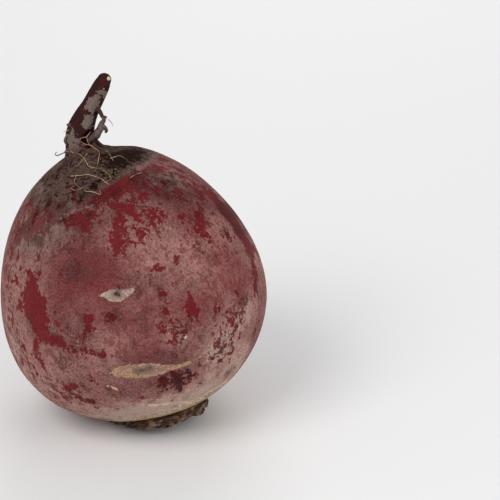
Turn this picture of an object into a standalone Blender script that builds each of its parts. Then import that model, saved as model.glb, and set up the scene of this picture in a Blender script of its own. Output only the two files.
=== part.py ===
# A beetroot: a swollen root with its tapering tail, standing on the edge of its crown among dried leaf bases.
# Lengths are metres. The beetroot is modelled about its own axis, with the tail up and height zero in the
# widest plane. Then it is tilted as it lies, with the floor at zero and its box centred over the origin.

import math
import random

import bmesh
import bpy
from mathutils import Matrix, Vector

# How it lies: the tail leans to the back left, and the rear left edge of the crown is pressed flat.
TILT = math.radians(23.6)
TILT_HEADING = math.radians(140.6)
FLAT_DEPTH = 0.0008

# The swollen root: a profile turned about the axis, near an ellipse, fuller towards the crown than the tail.
ROOT_RADIUS = 0.0454
CROWN_DEPTH = 0.0411
NECK_HEIGHT = 0.0540
CROWN_FULLNESS = 2.12
NECK_FULLNESS = 1.74
ROOT_SEGMENTS = 56
CROWN_RINGS = 12
NECK_RINGS = 20
LAST_NECK_ANGLE = math.radians(83)

# Broad lobes: how many go round, their share of the radius, where they start, how far they twist in a metre.
LOBES = ((2, 0.0055, -2.14, 3.0), (3, 0.0052, 0.99, -6.0), (5, 0.0030, 0.4, 12.0))

# Hollows: direction round the axis, height, half width, half length, depth.
HOLLOWS = (
    (math.radians(-8), 0.0525, 0.0078, 0.0050, 0.0021),
    (math.radians(118), 0.0180, 0.0220, 0.0180, 0.0009),
    (math.radians(48), -0.0080, 0.0200, 0.0220, 0.0010),
)

# The crown: a plateau inside the collar, with the cut heart standing in its middle. It leans a little to the
# left, turned about a point on the axis, and the lean fades out up the root.
CROWN_LEAN = math.radians(5.5)
CROWN_LEAN_MIDDLE = 0.0020
CROWN_LEAN_FADE = (-0.0240, -0.0376)
PLATEAU_RADIUS = 0.0166
PLATEAU_HEIGHT = -0.0380
COLLAR_ROUND = 0.0014
HEART_RADIUS = 0.0080
HEART_STAND = 0.0030
HEART_EDGE = 0.0007
HEART_DISH = 0.0005
HEART_MIDDLE_RING = 0.5
HEART_MIDDLE_DISH = 0.75
HEART_SIDE_RING = 0.4

# The tail's middle line from inside the neck to its tip: side, depth, height, and its radius there.
TAIL_STATIONS = (
    (0.0004, 0.0000, 0.0528, 0.0064),
    (0.0003, 0.0000, 0.0556, 0.0057),
    (0.0006, 0.0001, 0.0584, 0.0051),
    (0.0017, 0.0002, 0.0612, 0.0045),
    (0.0037, 0.0003, 0.0640, 0.0039),
    (0.0063, 0.0005, 0.0667, 0.0034),
    (0.0092, 0.0008, 0.0694, 0.0031),
    (0.0125, 0.0011, 0.0725, 0.0028),
    (0.0147, 0.0013, 0.0747, 0.0023),
)
TAIL_START = 0.20
TAIL_RINGS = 14
TAIL_BLEND = 3.0
TAIL_FLUTES = 5
TAIL_FLUTE_SHARE = 0.05
TAIL_FLUTE_TWIST = 9.0
TAIL_FOOT = 0.0440
TAIL_TIP_SHARE = 0.55
TAIL_NEARBY = 0.01

# The side root leaves the tail near its bend, bows out and grows back into it lower down.
SIDE_ROOT_PATH = (
    (0.0070, 0.0004, 0.0672),
    (0.0091, -0.0012, 0.0659),
    (0.0098, -0.0024, 0.0636),
    (0.0097, -0.0028, 0.0614),
    (0.0080, -0.0028, 0.0598),
    (0.0054, -0.0020, 0.0577),
    (0.0020, -0.0006, 0.0562),
)
SIDE_ROOT_RADIUS = 0.0008
SIDE_ROOT_SIDES = 8
SIDE_ROOT_STEPS = 18
SIDE_ROOT_NEARBY = 0.02

# The dried leaf bases: a ring round the heart, under stubs in overlapping rows.
CLEARANCE = 0.0003
LEAF_SEED = 11
RING_SEGMENTS = 44
RING_LOBES = 9
RING_LOBE_SHARE = 0.035
# The ring's section: distance from the axis, and how far it stands off the plateau.
RING_SECTION = (
    (HEART_RADIUS + CLEARANCE, CLEARANCE),
    (0.0142, CLEARANCE),
    (0.0148, 0.0012),
    (0.0132, 0.0021),
    (0.0108, 0.0025),
    (HEART_RADIUS + CLEARANCE, 0.0024),
)
LEAF_STEPS = 6
LEAF_THICKNESS = 0.0012
LEAF_CUPPING = 0.0007
# Each row: how many stubs, distance of their feet from the axis, length, width, stand-off at foot and tip.
LEAF_ROWS = (
    (9, 0.0102, 0.0057, 0.0064, 0.0011, 0.0014),
    (8, 0.0098, 0.0048, 0.0060, 0.0013, 0.0021),
    (7, 0.0094, 0.0032, 0.0054, 0.0013, 0.0026),
)
LEAF_ROW_OFFSET = 0.37
LEAF_SPACING_JITTER = 0.14
LEAF_JITTER = 0.18
LEAF_SWING = 0.30
LEAF_TIP_SHEAR = 0.35
LEAF_ROLL = 0.16
LEAF_NARROWING = 0.62
LEAF_NARROWING_POWER = 2.2
LEAF_SAG = 0.0005
LEAF_RIDGE = 0.75
# A section of a stub, corner by corner: how far across it the corner is, and its place, the inner side of
# an edge, the cupped middle, the outer side of an edge, or the ridge along the outer side.
LEAF_SECTION = ((-1, "inner"), (0, "cup"), (1, "inner"), (1, "outer"), (0, "ridge"), (-1, "outer"))
# On the side that the floor doesn't press, the tips hang further off the crown.
LEAF_HANG = 0.0014
FREE_SIDE = TILT_HEADING - math.pi

# The block that stands for the floor.
FLOOR_SIDE = 0.2
FLOOR_DEPTH = 0.02


def clear_scene():
    for thing in list(bpy.data.objects):
        bpy.data.objects.remove(thing, do_unlink=True)


def make_material(name, color, roughness):
    material = bpy.data.materials.new(name)
    material.use_nodes = True
    shader = material.node_tree.nodes["Principled BSDF"]
    shader.inputs["Base Color"].default_value = (*color, 1.0)
    shader.inputs["Roughness"].default_value = roughness
    shader.inputs["Metallic"].default_value = 0.0
    return material


def make_object(name, mesh_builder, material, parent):
    mesh = bpy.data.meshes.new(name)
    bmesh.ops.recalc_face_normals(mesh_builder, faces=mesh_builder.faces)
    mesh_builder.to_mesh(mesh)
    mesh_builder.free()
    mesh.shade_smooth()
    mesh.materials.append(material)
    made = bpy.data.objects.new(name, mesh)
    made.parent = parent
    bpy.context.collection.objects.link(made)
    return made


def ease(value, low, high):
    share = min(max((value - low) / (high - low), 0.0), 1.0)
    return share * share * (3 - 2 * share)


def on_smooth_line(stations, share):
    """The values at this share of the way along a smooth curve through the stations."""
    place = share * (len(stations) - 1)
    index = min(int(place), len(stations) - 2)
    t = place - index
    a, b, c, d = (stations[min(max(index + k, 0), len(stations) - 1)] for k in (-1, 0, 1, 2))
    values = []
    for p, q, r, s in zip(a, b, c, d):
        cubic = (3 * q - p - 3 * r + s) * t**3
        square = (2 * p - 5 * q + 4 * r - s) * t**2
        values.append((2 * q + (r - p) * t + square + cubic) / 2)
    return values


def root_profile(height):
    """The root's radius at this height, before lobes, and its normal's outward and upward parts."""
    span, fullness = (CROWN_DEPTH, CROWN_FULLNESS) if height < 0 else (NECK_HEIGHT, NECK_FULLNESS)
    share = min(abs(height) / span, 1.0)
    radius = ROOT_RADIUS * math.sqrt(1 - share**fullness)
    normal = Vector((radius / ROOT_RADIUS**2, height / span**2)).normalized()
    return radius, normal


def root_point(height, angle):
    """A point of the root's skin: its profile, lobes and hollows, blended into the tail at the neck."""
    bare, normal = root_profile(height)
    tail_share = ease(height, TAIL_FOOT, NECK_HEIGHT)
    tail_x, tail_y, _, tail_radius = TAIL_STATIONS[0]
    radius = (bare**TAIL_BLEND + (tail_radius * tail_share) ** TAIL_BLEND) ** (1 / TAIL_BLEND)
    for count, share, start, twist in LOBES:
        radius += bare * share * math.cos(count * angle + start + twist * height)
    depth = 0.0
    for heading, middle, across, along, deepest in HOLLOWS:
        middle_radius, _ = root_profile(middle)
        turn = math.remainder(angle - heading, math.tau)
        sideways = turn * middle_radius / across
        lengthways = math.hypot(bare - middle_radius, height - middle) / along
        depth += deepest * math.exp(-(sideways**2) - lengthways**2)
    radius -= depth * normal.x
    x = tail_x * tail_share + radius * math.cos(angle)
    y = tail_y * tail_share + radius * math.sin(angle)
    return Vector((x, y, height - depth * normal.y))


def crown_turn(height):
    """How far the crown's lean has turned the root at this height."""
    share = ease(height, *CROWN_LEAN_FADE)
    middle = Vector((0, 0, CROWN_LEAN_MIDDLE))
    turn = Matrix.Rotation(CROWN_LEAN * share, 4, "Y")
    return Matrix.Translation(middle) @ turn @ Matrix.Translation(-middle)


def crown_rings():
    """Distance from the axis and height of the rings from the heart's middle out to the collar."""
    top = PLATEAU_HEIGHT - HEART_STAND
    return (
        (HEART_RADIUS * HEART_MIDDLE_RING, top + HEART_DISH * HEART_MIDDLE_DISH),
        (HEART_RADIUS - HEART_EDGE, top),
        (HEART_RADIUS, top + HEART_EDGE),
        (HEART_RADIUS, PLATEAU_HEIGHT - HEART_STAND * HEART_SIDE_RING),
        (HEART_RADIUS, PLATEAU_HEIGHT),
        ((HEART_RADIUS + PLATEAU_RADIUS) / 2, PLATEAU_HEIGHT),
        (PLATEAU_RADIUS - COLLAR_ROUND, PLATEAU_HEIGHT),
    )


def body_rings():
    """Every ring of points up the beetroot, from the heart of the crown to the tip of the tail."""
    angles = [math.tau * k / ROOT_SEGMENTS for k in range(ROOT_SEGMENTS)]
    rings = []
    lean = crown_turn(PLATEAU_HEIGHT)
    for radius, height in crown_rings():
        rings.append([lean @ Vector((radius * math.cos(a), radius * math.sin(a), height)) for a in angles])
    lowest = math.acos(PLATEAU_RADIUS / ROOT_RADIUS)
    for k in range(CROWN_RINGS):
        share = math.sin(lowest * (1 - k / CROWN_RINGS))
        height = -CROWN_DEPTH * share ** (2 / CROWN_FULLNESS)
        lean = crown_turn(height)
        rings.append([lean @ root_point(height, a) for a in angles])
    for k in range(NECK_RINGS + 1):
        share = math.sin(LAST_NECK_ANGLE * k / NECK_RINGS)
        height = NECK_HEIGHT * share ** (2 / NECK_FULLNESS)
        rings.append([root_point(height, a) for a in angles])
    for k in range(TAIL_RINGS + 1):
        share = TAIL_START + (1 - TAIL_START) * k / TAIL_RINGS
        *middle, radius = on_smooth_line(TAIL_STATIONS, share)
        *ahead, _ = on_smooth_line(TAIL_STATIONS, min(share + TAIL_NEARBY, 1.0))
        *behind, _ = on_smooth_line(TAIL_STATIONS, share - TAIL_NEARBY)
        heading = (Vector(ahead) - Vector(behind)).normalized()
        turned = Vector((0, 0, 1)).rotation_difference(heading).to_matrix()
        ring = []
        for a in angles:
            flute = 1 + TAIL_FLUTE_SHARE * math.cos(TAIL_FLUTES * a + TAIL_FLUTE_TWIST * share)
            spoke = Vector((math.cos(a), math.sin(a), 0)) * radius * flute
            ring.append(Vector(middle) + turned @ spoke)
        rings.append(ring)
    return rings


def loft(rings, first_end, last_end):
    """A closed skin over rings of equal size, closed by a point at each end."""
    shape = bmesh.new()
    rows = [[shape.verts.new(point) for point in ring] for ring in rings]
    count = len(rows[0])
    for lower, upper in zip(rows, rows[1:]):
        for k in range(count):
            n = (k + 1) % count
            shape.faces.new((lower[k], lower[n], upper[n], upper[k]))
    for row, end in ((rows[0], first_end), (rows[-1], last_end)):
        tip = shape.verts.new(end)
        for k in range(count):
            shape.faces.new((row[k], row[(k + 1) % count], tip))
    return shape


def side_root():
    """A thin tube along the side root's path, with both ends inside the tail."""
    rings = []
    for k in range(SIDE_ROOT_STEPS + 1):
        share = k / SIDE_ROOT_STEPS
        middle = Vector(on_smooth_line(SIDE_ROOT_PATH, share))
        ahead = Vector(on_smooth_line(SIDE_ROOT_PATH, min(share + SIDE_ROOT_NEARBY, 1)))
        behind = Vector(on_smooth_line(SIDE_ROOT_PATH, max(share - SIDE_ROOT_NEARBY, 0)))
        turned = Vector((0, 0, 1)).rotation_difference((ahead - behind).normalized()).to_matrix()
        ring = []
        for side in range(SIDE_ROOT_SIDES):
            a = math.tau * side / SIDE_ROOT_SIDES
            ring.append(middle + turned @ Vector((math.cos(a), math.sin(a), 0)) * SIDE_ROOT_RADIUS)
        rings.append(ring)
    return loft(rings, SIDE_ROOT_PATH[0], SIDE_ROOT_PATH[-1])


def leaf_ring():
    """The ring that the stubs grow from, with a lobed outer edge."""
    shape = bmesh.new()
    rows = []
    for k in range(RING_SEGMENTS):
        a = math.tau * k / RING_SEGMENTS
        swell = 1 + RING_LOBE_SHARE * math.cos(RING_LOBES * a) * math.cos(2 * a + 1)
        row = []
        for place, (radius, stand) in enumerate(RING_SECTION):
            inner = place in (0, len(RING_SECTION) - 1)
            reach = radius if inner else radius * swell
            point = (reach * math.cos(a), reach * math.sin(a), PLATEAU_HEIGHT - stand)
            row.append(shape.verts.new(point))
        rows.append(row)
    sides = len(RING_SECTION)
    for k, row in enumerate(rows):
        following = rows[(k + 1) % RING_SEGMENTS]
        for side in range(sides):
            n = (side + 1) % sides
            shape.faces.new((row[side], row[n], following[n], following[side]))
    return shape


def leaf_stub(draw, heading, foot, length, width, stand_foot, stand_tip):
    """One dried stub: a cupped strap that lies outward from the heart and narrows to a slanting tip."""
    def varied(value):
        return value * (1 + draw.uniform(-LEAF_JITTER, LEAF_JITTER))

    length, width, stand_tip = varied(length), varied(width), varied(stand_tip)
    stand_tip += LEAF_HANG * (1 + math.cos(heading - FREE_SIDE)) / 2
    swing = draw.uniform(-LEAF_SWING, LEAF_SWING)
    tip_shear = draw.uniform(-LEAF_TIP_SHEAR, LEAF_TIP_SHEAR)
    roll = draw.uniform(-LEAF_ROLL, LEAF_ROLL)
    outward = Vector((math.cos(heading + swing), math.sin(heading + swing), 0))
    sideways = Vector((-outward.y, outward.x, 0))
    start = Vector((math.cos(heading), math.sin(heading), 0)) * foot
    ridge = LEAF_THICKNESS * LEAF_RIDGE
    off_middle = {"inner": 0.0, "cup": -LEAF_CUPPING, "outer": LEAF_THICKNESS, "ridge": ridge}
    shape = bmesh.new()
    rows = []
    for step in range(LEAF_STEPS + 1):
        share = step / LEAF_STEPS
        half = width / 2 * (1 - LEAF_NARROWING * share**LEAF_NARROWING_POWER)
        sag = LEAF_SAG * math.sin(math.pi * share)
        stand = stand_foot + (stand_tip - stand_foot) * ease(share, 0, 1) - sag
        row = []
        for across, corner in LEAF_SECTION:
            reach = length * share * (1 + tip_shear * across * share)
            stand_off = stand + roll * half * across + off_middle[corner]
            point = start + outward * reach + sideways * half * across
            point.z = PLATEAU_HEIGHT - stand_off
            row.append(shape.verts.new(point))
        rows.append(row)
    corners = len(LEAF_SECTION)
    for lower, upper in zip(rows, rows[1:]):
        for k in range(corners):
            n = (k + 1) % corners
            shape.faces.new((lower[k], lower[n], upper[n], upper[k]))
    shape.faces.new(rows[0])
    shape.faces.new(rows[-1])
    bmesh.ops.triangulate(shape, faces=shape.faces)
    return shape


def settle(thing):
    """Bakes an object's modifiers into its own mesh."""
    bpy.context.view_layer.update()
    depsgraph = bpy.context.evaluated_depsgraph_get()
    settled = bpy.data.meshes.new_from_object(thing.evaluated_get(depsgraph))
    thing.modifiers.clear()
    thing.data = settled


def fuse(base, pieces, name):
    """Joins the pieces and the base into one body by one union on a collection, and removes the pieces."""
    group = bpy.data.collections.new(name)
    bpy.context.scene.collection.children.link(group)
    for piece in pieces:
        bpy.context.collection.objects.unlink(piece)
        group.objects.link(piece)
    union = base.modifiers.new("grown_together", "BOOLEAN")
    union.operation = "UNION"
    union.solver = "MANIFOLD"
    union.operand_type = "COLLECTION"
    union.collection = group
    settle(base)
    for piece in pieces:
        bpy.data.objects.remove(piece, do_unlink=True)
    bpy.data.collections.remove(group)


def make_beet_body(parent):
    skin = make_material("beet_skin", (0.16, 0.05, 0.055), 0.62)
    rings = body_rings()
    pole = crown_turn(PLATEAU_HEIGHT) @ Vector((0, 0, PLATEAU_HEIGHT - HEART_STAND + HEART_DISH))
    *tip, tip_radius = TAIL_STATIONS[-1]
    *before_tip, _ = TAIL_STATIONS[-2]
    tip = Vector(tip) + (Vector(tip) - Vector(before_tip)).normalized() * tip_radius * TAIL_TIP_SHARE
    body = make_object("beet_body", loft(rings, pole, tip), skin, parent)
    branch = make_object("side_root", side_root(), skin, parent)
    fuse(body, [branch], "root_pieces")
    return body


def make_leaf_bases(parent):
    husk = make_material("dried_leaf", (0.085, 0.055, 0.04), 0.85)
    draw = random.Random(LEAF_SEED)
    bases = make_object("leaf_bases", leaf_ring(), husk, parent)
    stubs = []
    for row, (count, foot, length, width, stand_foot, stand_tip) in enumerate(LEAF_ROWS):
        for k in range(count):
            jitter = draw.uniform(-LEAF_SPACING_JITTER, LEAF_SPACING_JITTER)
            heading = math.tau * (k + LEAF_ROW_OFFSET * row) / count + jitter
            shape = leaf_stub(draw, heading, foot, length, width, stand_foot, stand_tip)
            stubs.append(make_object("leaf_stub", shape, husk, parent))
    fuse(bases, stubs, "leaf_pieces")
    bases.data.transform(crown_turn(PLATEAU_HEIGHT))
    return bases


def make_floor_cutter():
    """A block whose top is the floor, which trims what the beetroot's weight presses flat."""
    shape = bmesh.new()
    size = Matrix.Diagonal((FLOOR_SIDE, FLOOR_SIDE, FLOOR_DEPTH, 1))
    bmesh.ops.create_cube(shape, size=1.0, matrix=Matrix.Translation((0, 0, -FLOOR_DEPTH / 2)) @ size)
    cutter = make_object("floor_cutter", shape, make_material("cutter", (0.5, 0.5, 0.5), 0.5), None)
    cutter.hide_render = True
    cutter.display_type = "WIRE"
    return cutter


def press_flat(thing, cutter):
    trim = thing.modifiers.new("pressed_flat", "BOOLEAN")
    trim.operation = "DIFFERENCE"
    trim.solver = "MANIFOLD"
    trim.object = cutter


def world_points(thing):
    bpy.context.view_layer.update()
    depsgraph = bpy.context.evaluated_depsgraph_get()
    shown = thing.evaluated_get(depsgraph)
    return [shown.matrix_world @ vertex.co for vertex in shown.data.vertices]


def main():
    clear_scene()
    lie = bpy.data.objects.new("how_it_lies", None)
    bpy.context.collection.objects.link(lie)
    turn = Matrix.Rotation(TILT_HEADING, 4, "Z") @ Matrix.Rotation(TILT, 4, "Y")
    lie.rotation_euler = (turn @ Matrix.Rotation(-TILT_HEADING, 4, "Z")).to_euler()
    body = make_beet_body(lie)
    bases = make_leaf_bases(lie)
    lie.location.z = -FLAT_DEPTH - min(point.z for point in world_points(body))
    cutter = make_floor_cutter()
    press_flat(body, cutter)
    press_flat(bases, cutter)
    points = world_points(body) + world_points(bases)
    for axis in (0, 1):
        along = [point[axis] for point in points]
        lie.location[axis] = -(min(along) + max(along)) / 2


main()
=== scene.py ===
import math
import random

import bmesh
import bpy
import numpy as np
from mathutils import Matrix, Vector
from mathutils.bvhtree import BVHTree


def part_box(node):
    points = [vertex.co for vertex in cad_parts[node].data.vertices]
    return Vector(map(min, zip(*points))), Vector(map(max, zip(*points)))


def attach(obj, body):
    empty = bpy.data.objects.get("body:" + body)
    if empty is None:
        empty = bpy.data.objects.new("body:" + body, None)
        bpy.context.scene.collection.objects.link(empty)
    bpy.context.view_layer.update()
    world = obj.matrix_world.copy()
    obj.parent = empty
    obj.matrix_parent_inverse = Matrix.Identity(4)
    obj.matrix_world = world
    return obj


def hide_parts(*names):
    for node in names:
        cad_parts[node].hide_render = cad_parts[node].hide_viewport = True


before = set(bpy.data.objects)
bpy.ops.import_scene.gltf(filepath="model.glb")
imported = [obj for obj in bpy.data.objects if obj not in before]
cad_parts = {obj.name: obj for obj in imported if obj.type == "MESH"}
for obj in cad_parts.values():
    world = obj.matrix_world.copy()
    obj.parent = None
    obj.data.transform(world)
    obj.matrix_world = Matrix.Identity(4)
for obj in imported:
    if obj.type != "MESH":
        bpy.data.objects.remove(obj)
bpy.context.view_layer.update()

# Lengths in the dictionaries are millimetres. A place on the root is its turn round the root's own axis
# in degrees and its height along it: zero is the widest plane, the tail is up, and turn -85 looks at the
# camera.
mm = 0.001


# Numbers and curves

def ease(value, low, high):
    share = np.clip((value - low) / (high - low), 0, 1)
    return share * share * (3 - 2 * share)


def onSmoothLine(stations, share):
    place = share * (len(stations) - 1)
    index = min(int(place), len(stations) - 2)
    t = place - index
    around = (stations[min(max(index + k, 0), len(stations) - 1)] for k in (-1, 0, 1, 2))
    a, b, c, d = (np.array(station, float) for station in around)
    return betweenPoints(a, b, c, d, t)


def betweenPoints(a, b, c, d, t):
    # a smooth step from b to c, with a and d beyond them
    cube = (3 * b - a - 3 * c + d) * t**3
    square = (2 * a - 5 * b + 4 * c - d) * t**2
    return (2 * b + (c - a) * t + square + cube) / 2


def unit(vector):
    return vector / np.linalg.norm(vector)


def turnBetween(start, end):
    return np.array(Vector(start).rotation_difference(Vector(end)).to_matrix())


# The skin's form, by the same rule as the solid

root = {
    "tilt": 23.6,            # how far the axis leans
    "heading": 140.6,        # and which way
    "radius": 45.4,
    "crownDepth": 41.1,
    "neckHeight": 54.0,
    "crownFullness": 2.12,
    "neckFullness": 1.74,
    "neckFoot": 44.0,        # where the skin starts to turn up into the tail
    "neckBlend": 3.0,
    "lastNeckAngle": 83,
    "lobes": ((2, 0.0055, -2.14, 0.003), (3, 0.0052, 0.99, -0.006), (5, 0.0030, 0.4, 0.012)),
    "hollows": ((-8, 52.5, 7.8, 5.0, 2.1), (118, 18.0, 22.0, 18.0, 0.9), (48, -8.0, 20.0, 22.0, 1.0)),
    "segments": 360,         # round the widest part; halved twice towards the ends
    "halveBelow": (25.0, 11.0),
    "ringStep": 0.66,
    "heightSamples": 3000,
    "grainPinch": 0.02,
    "grainStretch": 0.7,
    "neckGrey": (43, 52, 0.8),
    "fleckGrowth": 0.35,
    "squash": 0.2,           # the layer at the floor that takes up what its weight presses flat
}

crown = {
    "lean": 5.5,
    "leanMiddle": 2.0,
    "leanFade": (-24.0, -37.6),
    "plateauRadius": 16.6,
    "plateauHeight": -38.0,
    "collarRound": 1.4,
    "heartRadius": 8.0,
    "heartStand": 3.0,
    "heartEdge": 0.7,
    "heartDish": 0.5,
    "dishMiddle": 0.5,       # radius of the innermost ring
    "dishShoulder": (0.5, 0.75),
    "heartRound": (0.15, 0.25),
    "heartFoot": 0.3,
    "ringStep": 0.45,
    "corkReach": (17.0, 35.0),
}

tail = {
    # side, depth, height and radius along its middle line
    "stations": (
        (0.4, 0.0, 52.8, 6.4), (0.3, 0.0, 55.6, 5.7), (0.6, 0.1, 58.4, 5.1), (1.7, 0.2, 61.2, 4.5),
        (3.7, 0.3, 64.0, 3.9), (6.3, 0.5, 66.7, 3.4), (9.2, 0.8, 69.4, 3.1), (12.5, 1.1, 72.5, 2.8),
        (14.2, 1.3, 74.2, 2.35),
    ),
    "start": 0.20,
    "rings": 84,
    "joinRings": 9,
    "capRings": 9,
    "capDepth": 0.95,
    "flutes": 5,
    "fluteShare": 0.05,
    "fluteTwist": 9,
    "joinReach": 6,          # how many rings away the join takes its bend from
    "skinFrom": (52.0, 60.0),
}

heading = Matrix.Rotation(math.radians(root["heading"]), 3, "Z")
lieTurn = np.array(heading @ Matrix.Rotation(math.radians(root["tilt"]), 3, "Y") @ heading.inverted())

def profile(height):
    span = np.where(height < 0, root["crownDepth"], root["neckHeight"])
    fullness = np.where(height < 0, root["crownFullness"], root["neckFullness"])
    share = np.minimum(np.abs(height) / span, 1)
    radius = root["radius"] * np.sqrt(1 - share**fullness)
    outward = radius / root["radius"]**2
    upward = height / span**2
    size = np.hypot(outward, upward)
    return radius, outward / size, upward / size


def neckedRadius(height):
    bare = profile(height)[0]
    tailShare = ease(height, root["neckFoot"], root["neckHeight"])
    power = root["neckBlend"]
    return (bare**power + (tail["stations"][0][3] * tailShare)**power)**(1 / power)


def leanCrown(points, height):
    angle = math.radians(crown["lean"]) * ease(height, *crown["leanFade"])
    x, y, z = points[..., 0], points[..., 1], points[..., 2] - crown["leanMiddle"]
    turnedX = x * np.cos(angle) + z * np.sin(angle)
    turnedZ = z * np.cos(angle) - x * np.sin(angle) + crown["leanMiddle"]
    return np.stack([turnedX, y, turnedZ], -1)


def rootSkin(turn, height):
    # the point of the skin at this turn (radians) and height
    turn, height = np.broadcast_arrays(np.asarray(turn, float), np.asarray(height, float))
    bare, outward, upward = profile(height)
    radius = neckedRadius(height)
    for count, share, start, twist in root["lobes"]:
        radius = radius + bare * share * np.cos(count * turn + start + twist * height)
    depth = 0
    for heading, middle, across, along, deepest in root["hollows"]:
        middleRadius = profile(np.array(middle))[0]
        away = np.mod(turn - math.radians(heading) + math.pi, math.tau) - math.pi
        lengthways = np.hypot(bare - middleRadius, height - middle) / along
        depth = depth + deepest * np.exp(-(away * middleRadius / across)**2 - lengthways**2)
    radius = radius - depth * outward
    tailShare = ease(height, root["neckFoot"], root["neckHeight"])
    startX, startY = tail["stations"][0][:2]
    x = startX * tailShare + radius * np.cos(turn)
    y = startY * tailShare + radius * np.sin(turn)
    return leanCrown(np.stack([x, y, height - depth * upward], -1), height)


def skinPlace(turn, height):
    return rootSkin(math.radians(turn), height)


def turnsFor(radius):
    count = root["segments"]
    for limit in root["halveBelow"]:
        if radius < limit:
            count //= 2
    return np.arange(count) * math.tau / count


def crownRings():
    # from the middle of the heart out to the collar
    top = crown["plateauHeight"] - crown["heartStand"]
    heart, floor = crown["heartRadius"], crown["plateauHeight"]
    dish, (shoulder, shoulderDish) = top + crown["heartDish"], crown["dishShoulder"]
    roundIn, roundDown = crown["heartRound"]
    corners = ((crown["dishMiddle"], dish), (heart * shoulder, top + crown["heartDish"] * shoulderDish),
               (heart - crown["heartEdge"], top), (heart - roundIn, top + roundDown),
               (heart, top + crown["heartEdge"]), (heart, floor - crown["heartFoot"]),
               (heart + crown["heartFoot"], floor), (crown["plateauRadius"] - crown["collarRound"], floor))
    rings = []
    for (innerRadius, innerHeight), (outerRadius, outerHeight) in zip(corners, corners[1:]):
        width = math.hypot(outerRadius - innerRadius, outerHeight - innerHeight)
        steps = max(1, round(width / crown["ringStep"]))
        for share in np.arange(steps) / steps:
            radius = innerRadius + (outerRadius - innerRadius) * share
            height = innerHeight + (outerHeight - innerHeight) * share
            turns = turnsFor(0)
            flat = [radius * np.cos(turns), radius * np.sin(turns), np.full(len(turns), height)]
            rings.append((leanCrown(np.stack(flat, -1), floor), turns))
    return rings


def rootHeights():
    # ring heights from the collar to the neck, evenly spaced along the skin
    lowest = -math.acos(crown["plateauRadius"] / root["radius"])
    angles = np.linspace(lowest, math.radians(root["lastNeckAngle"]), root["heightSamples"])
    span = np.where(angles < 0, root["crownDepth"], root["neckHeight"])
    fullness = np.where(angles < 0, root["crownFullness"], root["neckFullness"])
    heights = np.sign(angles) * span * np.abs(np.sin(angles))**(2 / fullness)
    radii = neckedRadius(heights)
    path = np.concatenate([[0], np.cumsum(np.hypot(np.diff(heights), np.diff(radii)))])
    return np.interp(np.linspace(0, path[-1], round(path[-1] / root["ringStep"])), path, heights)


def tailRing(share, turns):
    stations, step = tail["stations"], 0.01
    *middle, radius = onSmoothLine(stations, share)
    ahead = onSmoothLine(stations, min(share + step, 1))[:3]
    behind = onSmoothLine(stations, share - step)[:3]
    along = unit(ahead - behind)
    flute = 1 + tail["fluteShare"] * np.cos(tail["flutes"] * turns + tail["fluteTwist"] * share)
    spokes = np.stack([np.cos(turns), np.sin(turns), np.zeros(len(turns))], -1) * (radius * flute)[:, None]
    return np.array(middle), along, spokes @ turnBetween((0, 0, 1), along).T


def tailRings(turns):
    rings = []
    for share in np.linspace(tail["start"], 1, tail["rings"]):
        middle, along, spokes = tailRing(share, turns)
        rings.append((middle + spokes, turns))
    radius = tail["stations"][-1][3]
    for angle in np.arange(1, tail["capRings"]) * math.pi / 2 / tail["capRings"]:
        lift = along * radius * tail["capDepth"] * math.sin(angle)
        rings.append((middle + lift + spokes * math.cos(angle), turns))
    return rings, middle + along * radius * tail["capDepth"]


def joinRings(lower, upper, offset, nextOffset):
    # faces between two rings of equal count, or with one twice the other
    n, m = len(lower), len(upper)
    faces = []
    for k in range(min(n, m)):
        here, there = offset + np.arange(n), nextOffset + np.arange(m)
        if n == m:
            j = (k + 1) % n
            faces.append((here[k], here[j], there[j], there[k]))
        elif n > m:
            j = (k + 1) % m
            faces.append((here[2 * k], here[2 * k + 1], there[k]))
            faces.append((here[2 * k + 1], there[j], there[k]))
            faces.append((here[2 * k + 1], here[(2 * k + 2) % n], there[j]))
        else:
            j = (k + 1) % n
            faces.append((here[k], here[j], there[2 * k + 1]))
            faces.append((here[k], there[2 * k + 1], there[2 * k]))
            faces.append((here[j], there[(2 * k + 2) % m], there[2 * k + 1]))
    return faces


def skinMesh():
    rings = crownRings()
    for height in rootHeights():
        turns = turnsFor(float(neckedRadius(np.array(height))))
        rings.append((rootSkin(turns, height), turns))
    turns = rings[-1][1]
    upward, tip = tailRings(turns)
    reach = tail["joinReach"]
    below, start, end, above = rings[-1 - reach][0], rings[-1][0], upward[0][0], upward[reach][0]
    below = below[::len(below) // len(start)]
    for k in range(1, tail["joinRings"]):
        rings.append((betweenPoints(below, start, end, above, k / tail["joinRings"]), turns))
    rings += upward
    heart = leanCrown(np.array([0, 0, crown["plateauHeight"] - crown["heartStand"] + crown["heartDish"]]),
                      np.array(crown["plateauHeight"]))
    points = np.concatenate([ring for ring, _ in rings] + [heart[None], tip[None]])
    allTurns = np.concatenate([turns for _, turns in rings] + [[0], [0]])
    faces = []
    offset = 0
    middles = [ring.mean(0) for ring, _ in rings]
    path = [0.0]
    for (lower, _), (upper, _), near, far in zip(rings, rings[1:], middles, middles[1:]):
        faces += joinRings(lower, upper, offset, offset + len(lower))
        outward = np.linalg.norm(upper[0] - far) - np.linalg.norm(lower[0] - near)
        path.append(path[-1] + math.hypot(np.linalg.norm(far - near), outward))
        offset += len(lower)
    first, last = len(rings[0][0]), len(rings[-1][0])
    faces += [((k + 1) % first, k, len(points) - 2) for k in range(first)]
    faces += [(offset + k, offset + (k + 1) % last, len(points) - 1) for k in range(last)]
    along = [np.full(len(ring), way) for (ring, _), way in zip(rings, path)]
    return points, faces, allTurns, np.concatenate(along + [[0], [path[-1]]])


# Fields that place the markings, worked out at every point of the skin

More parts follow.
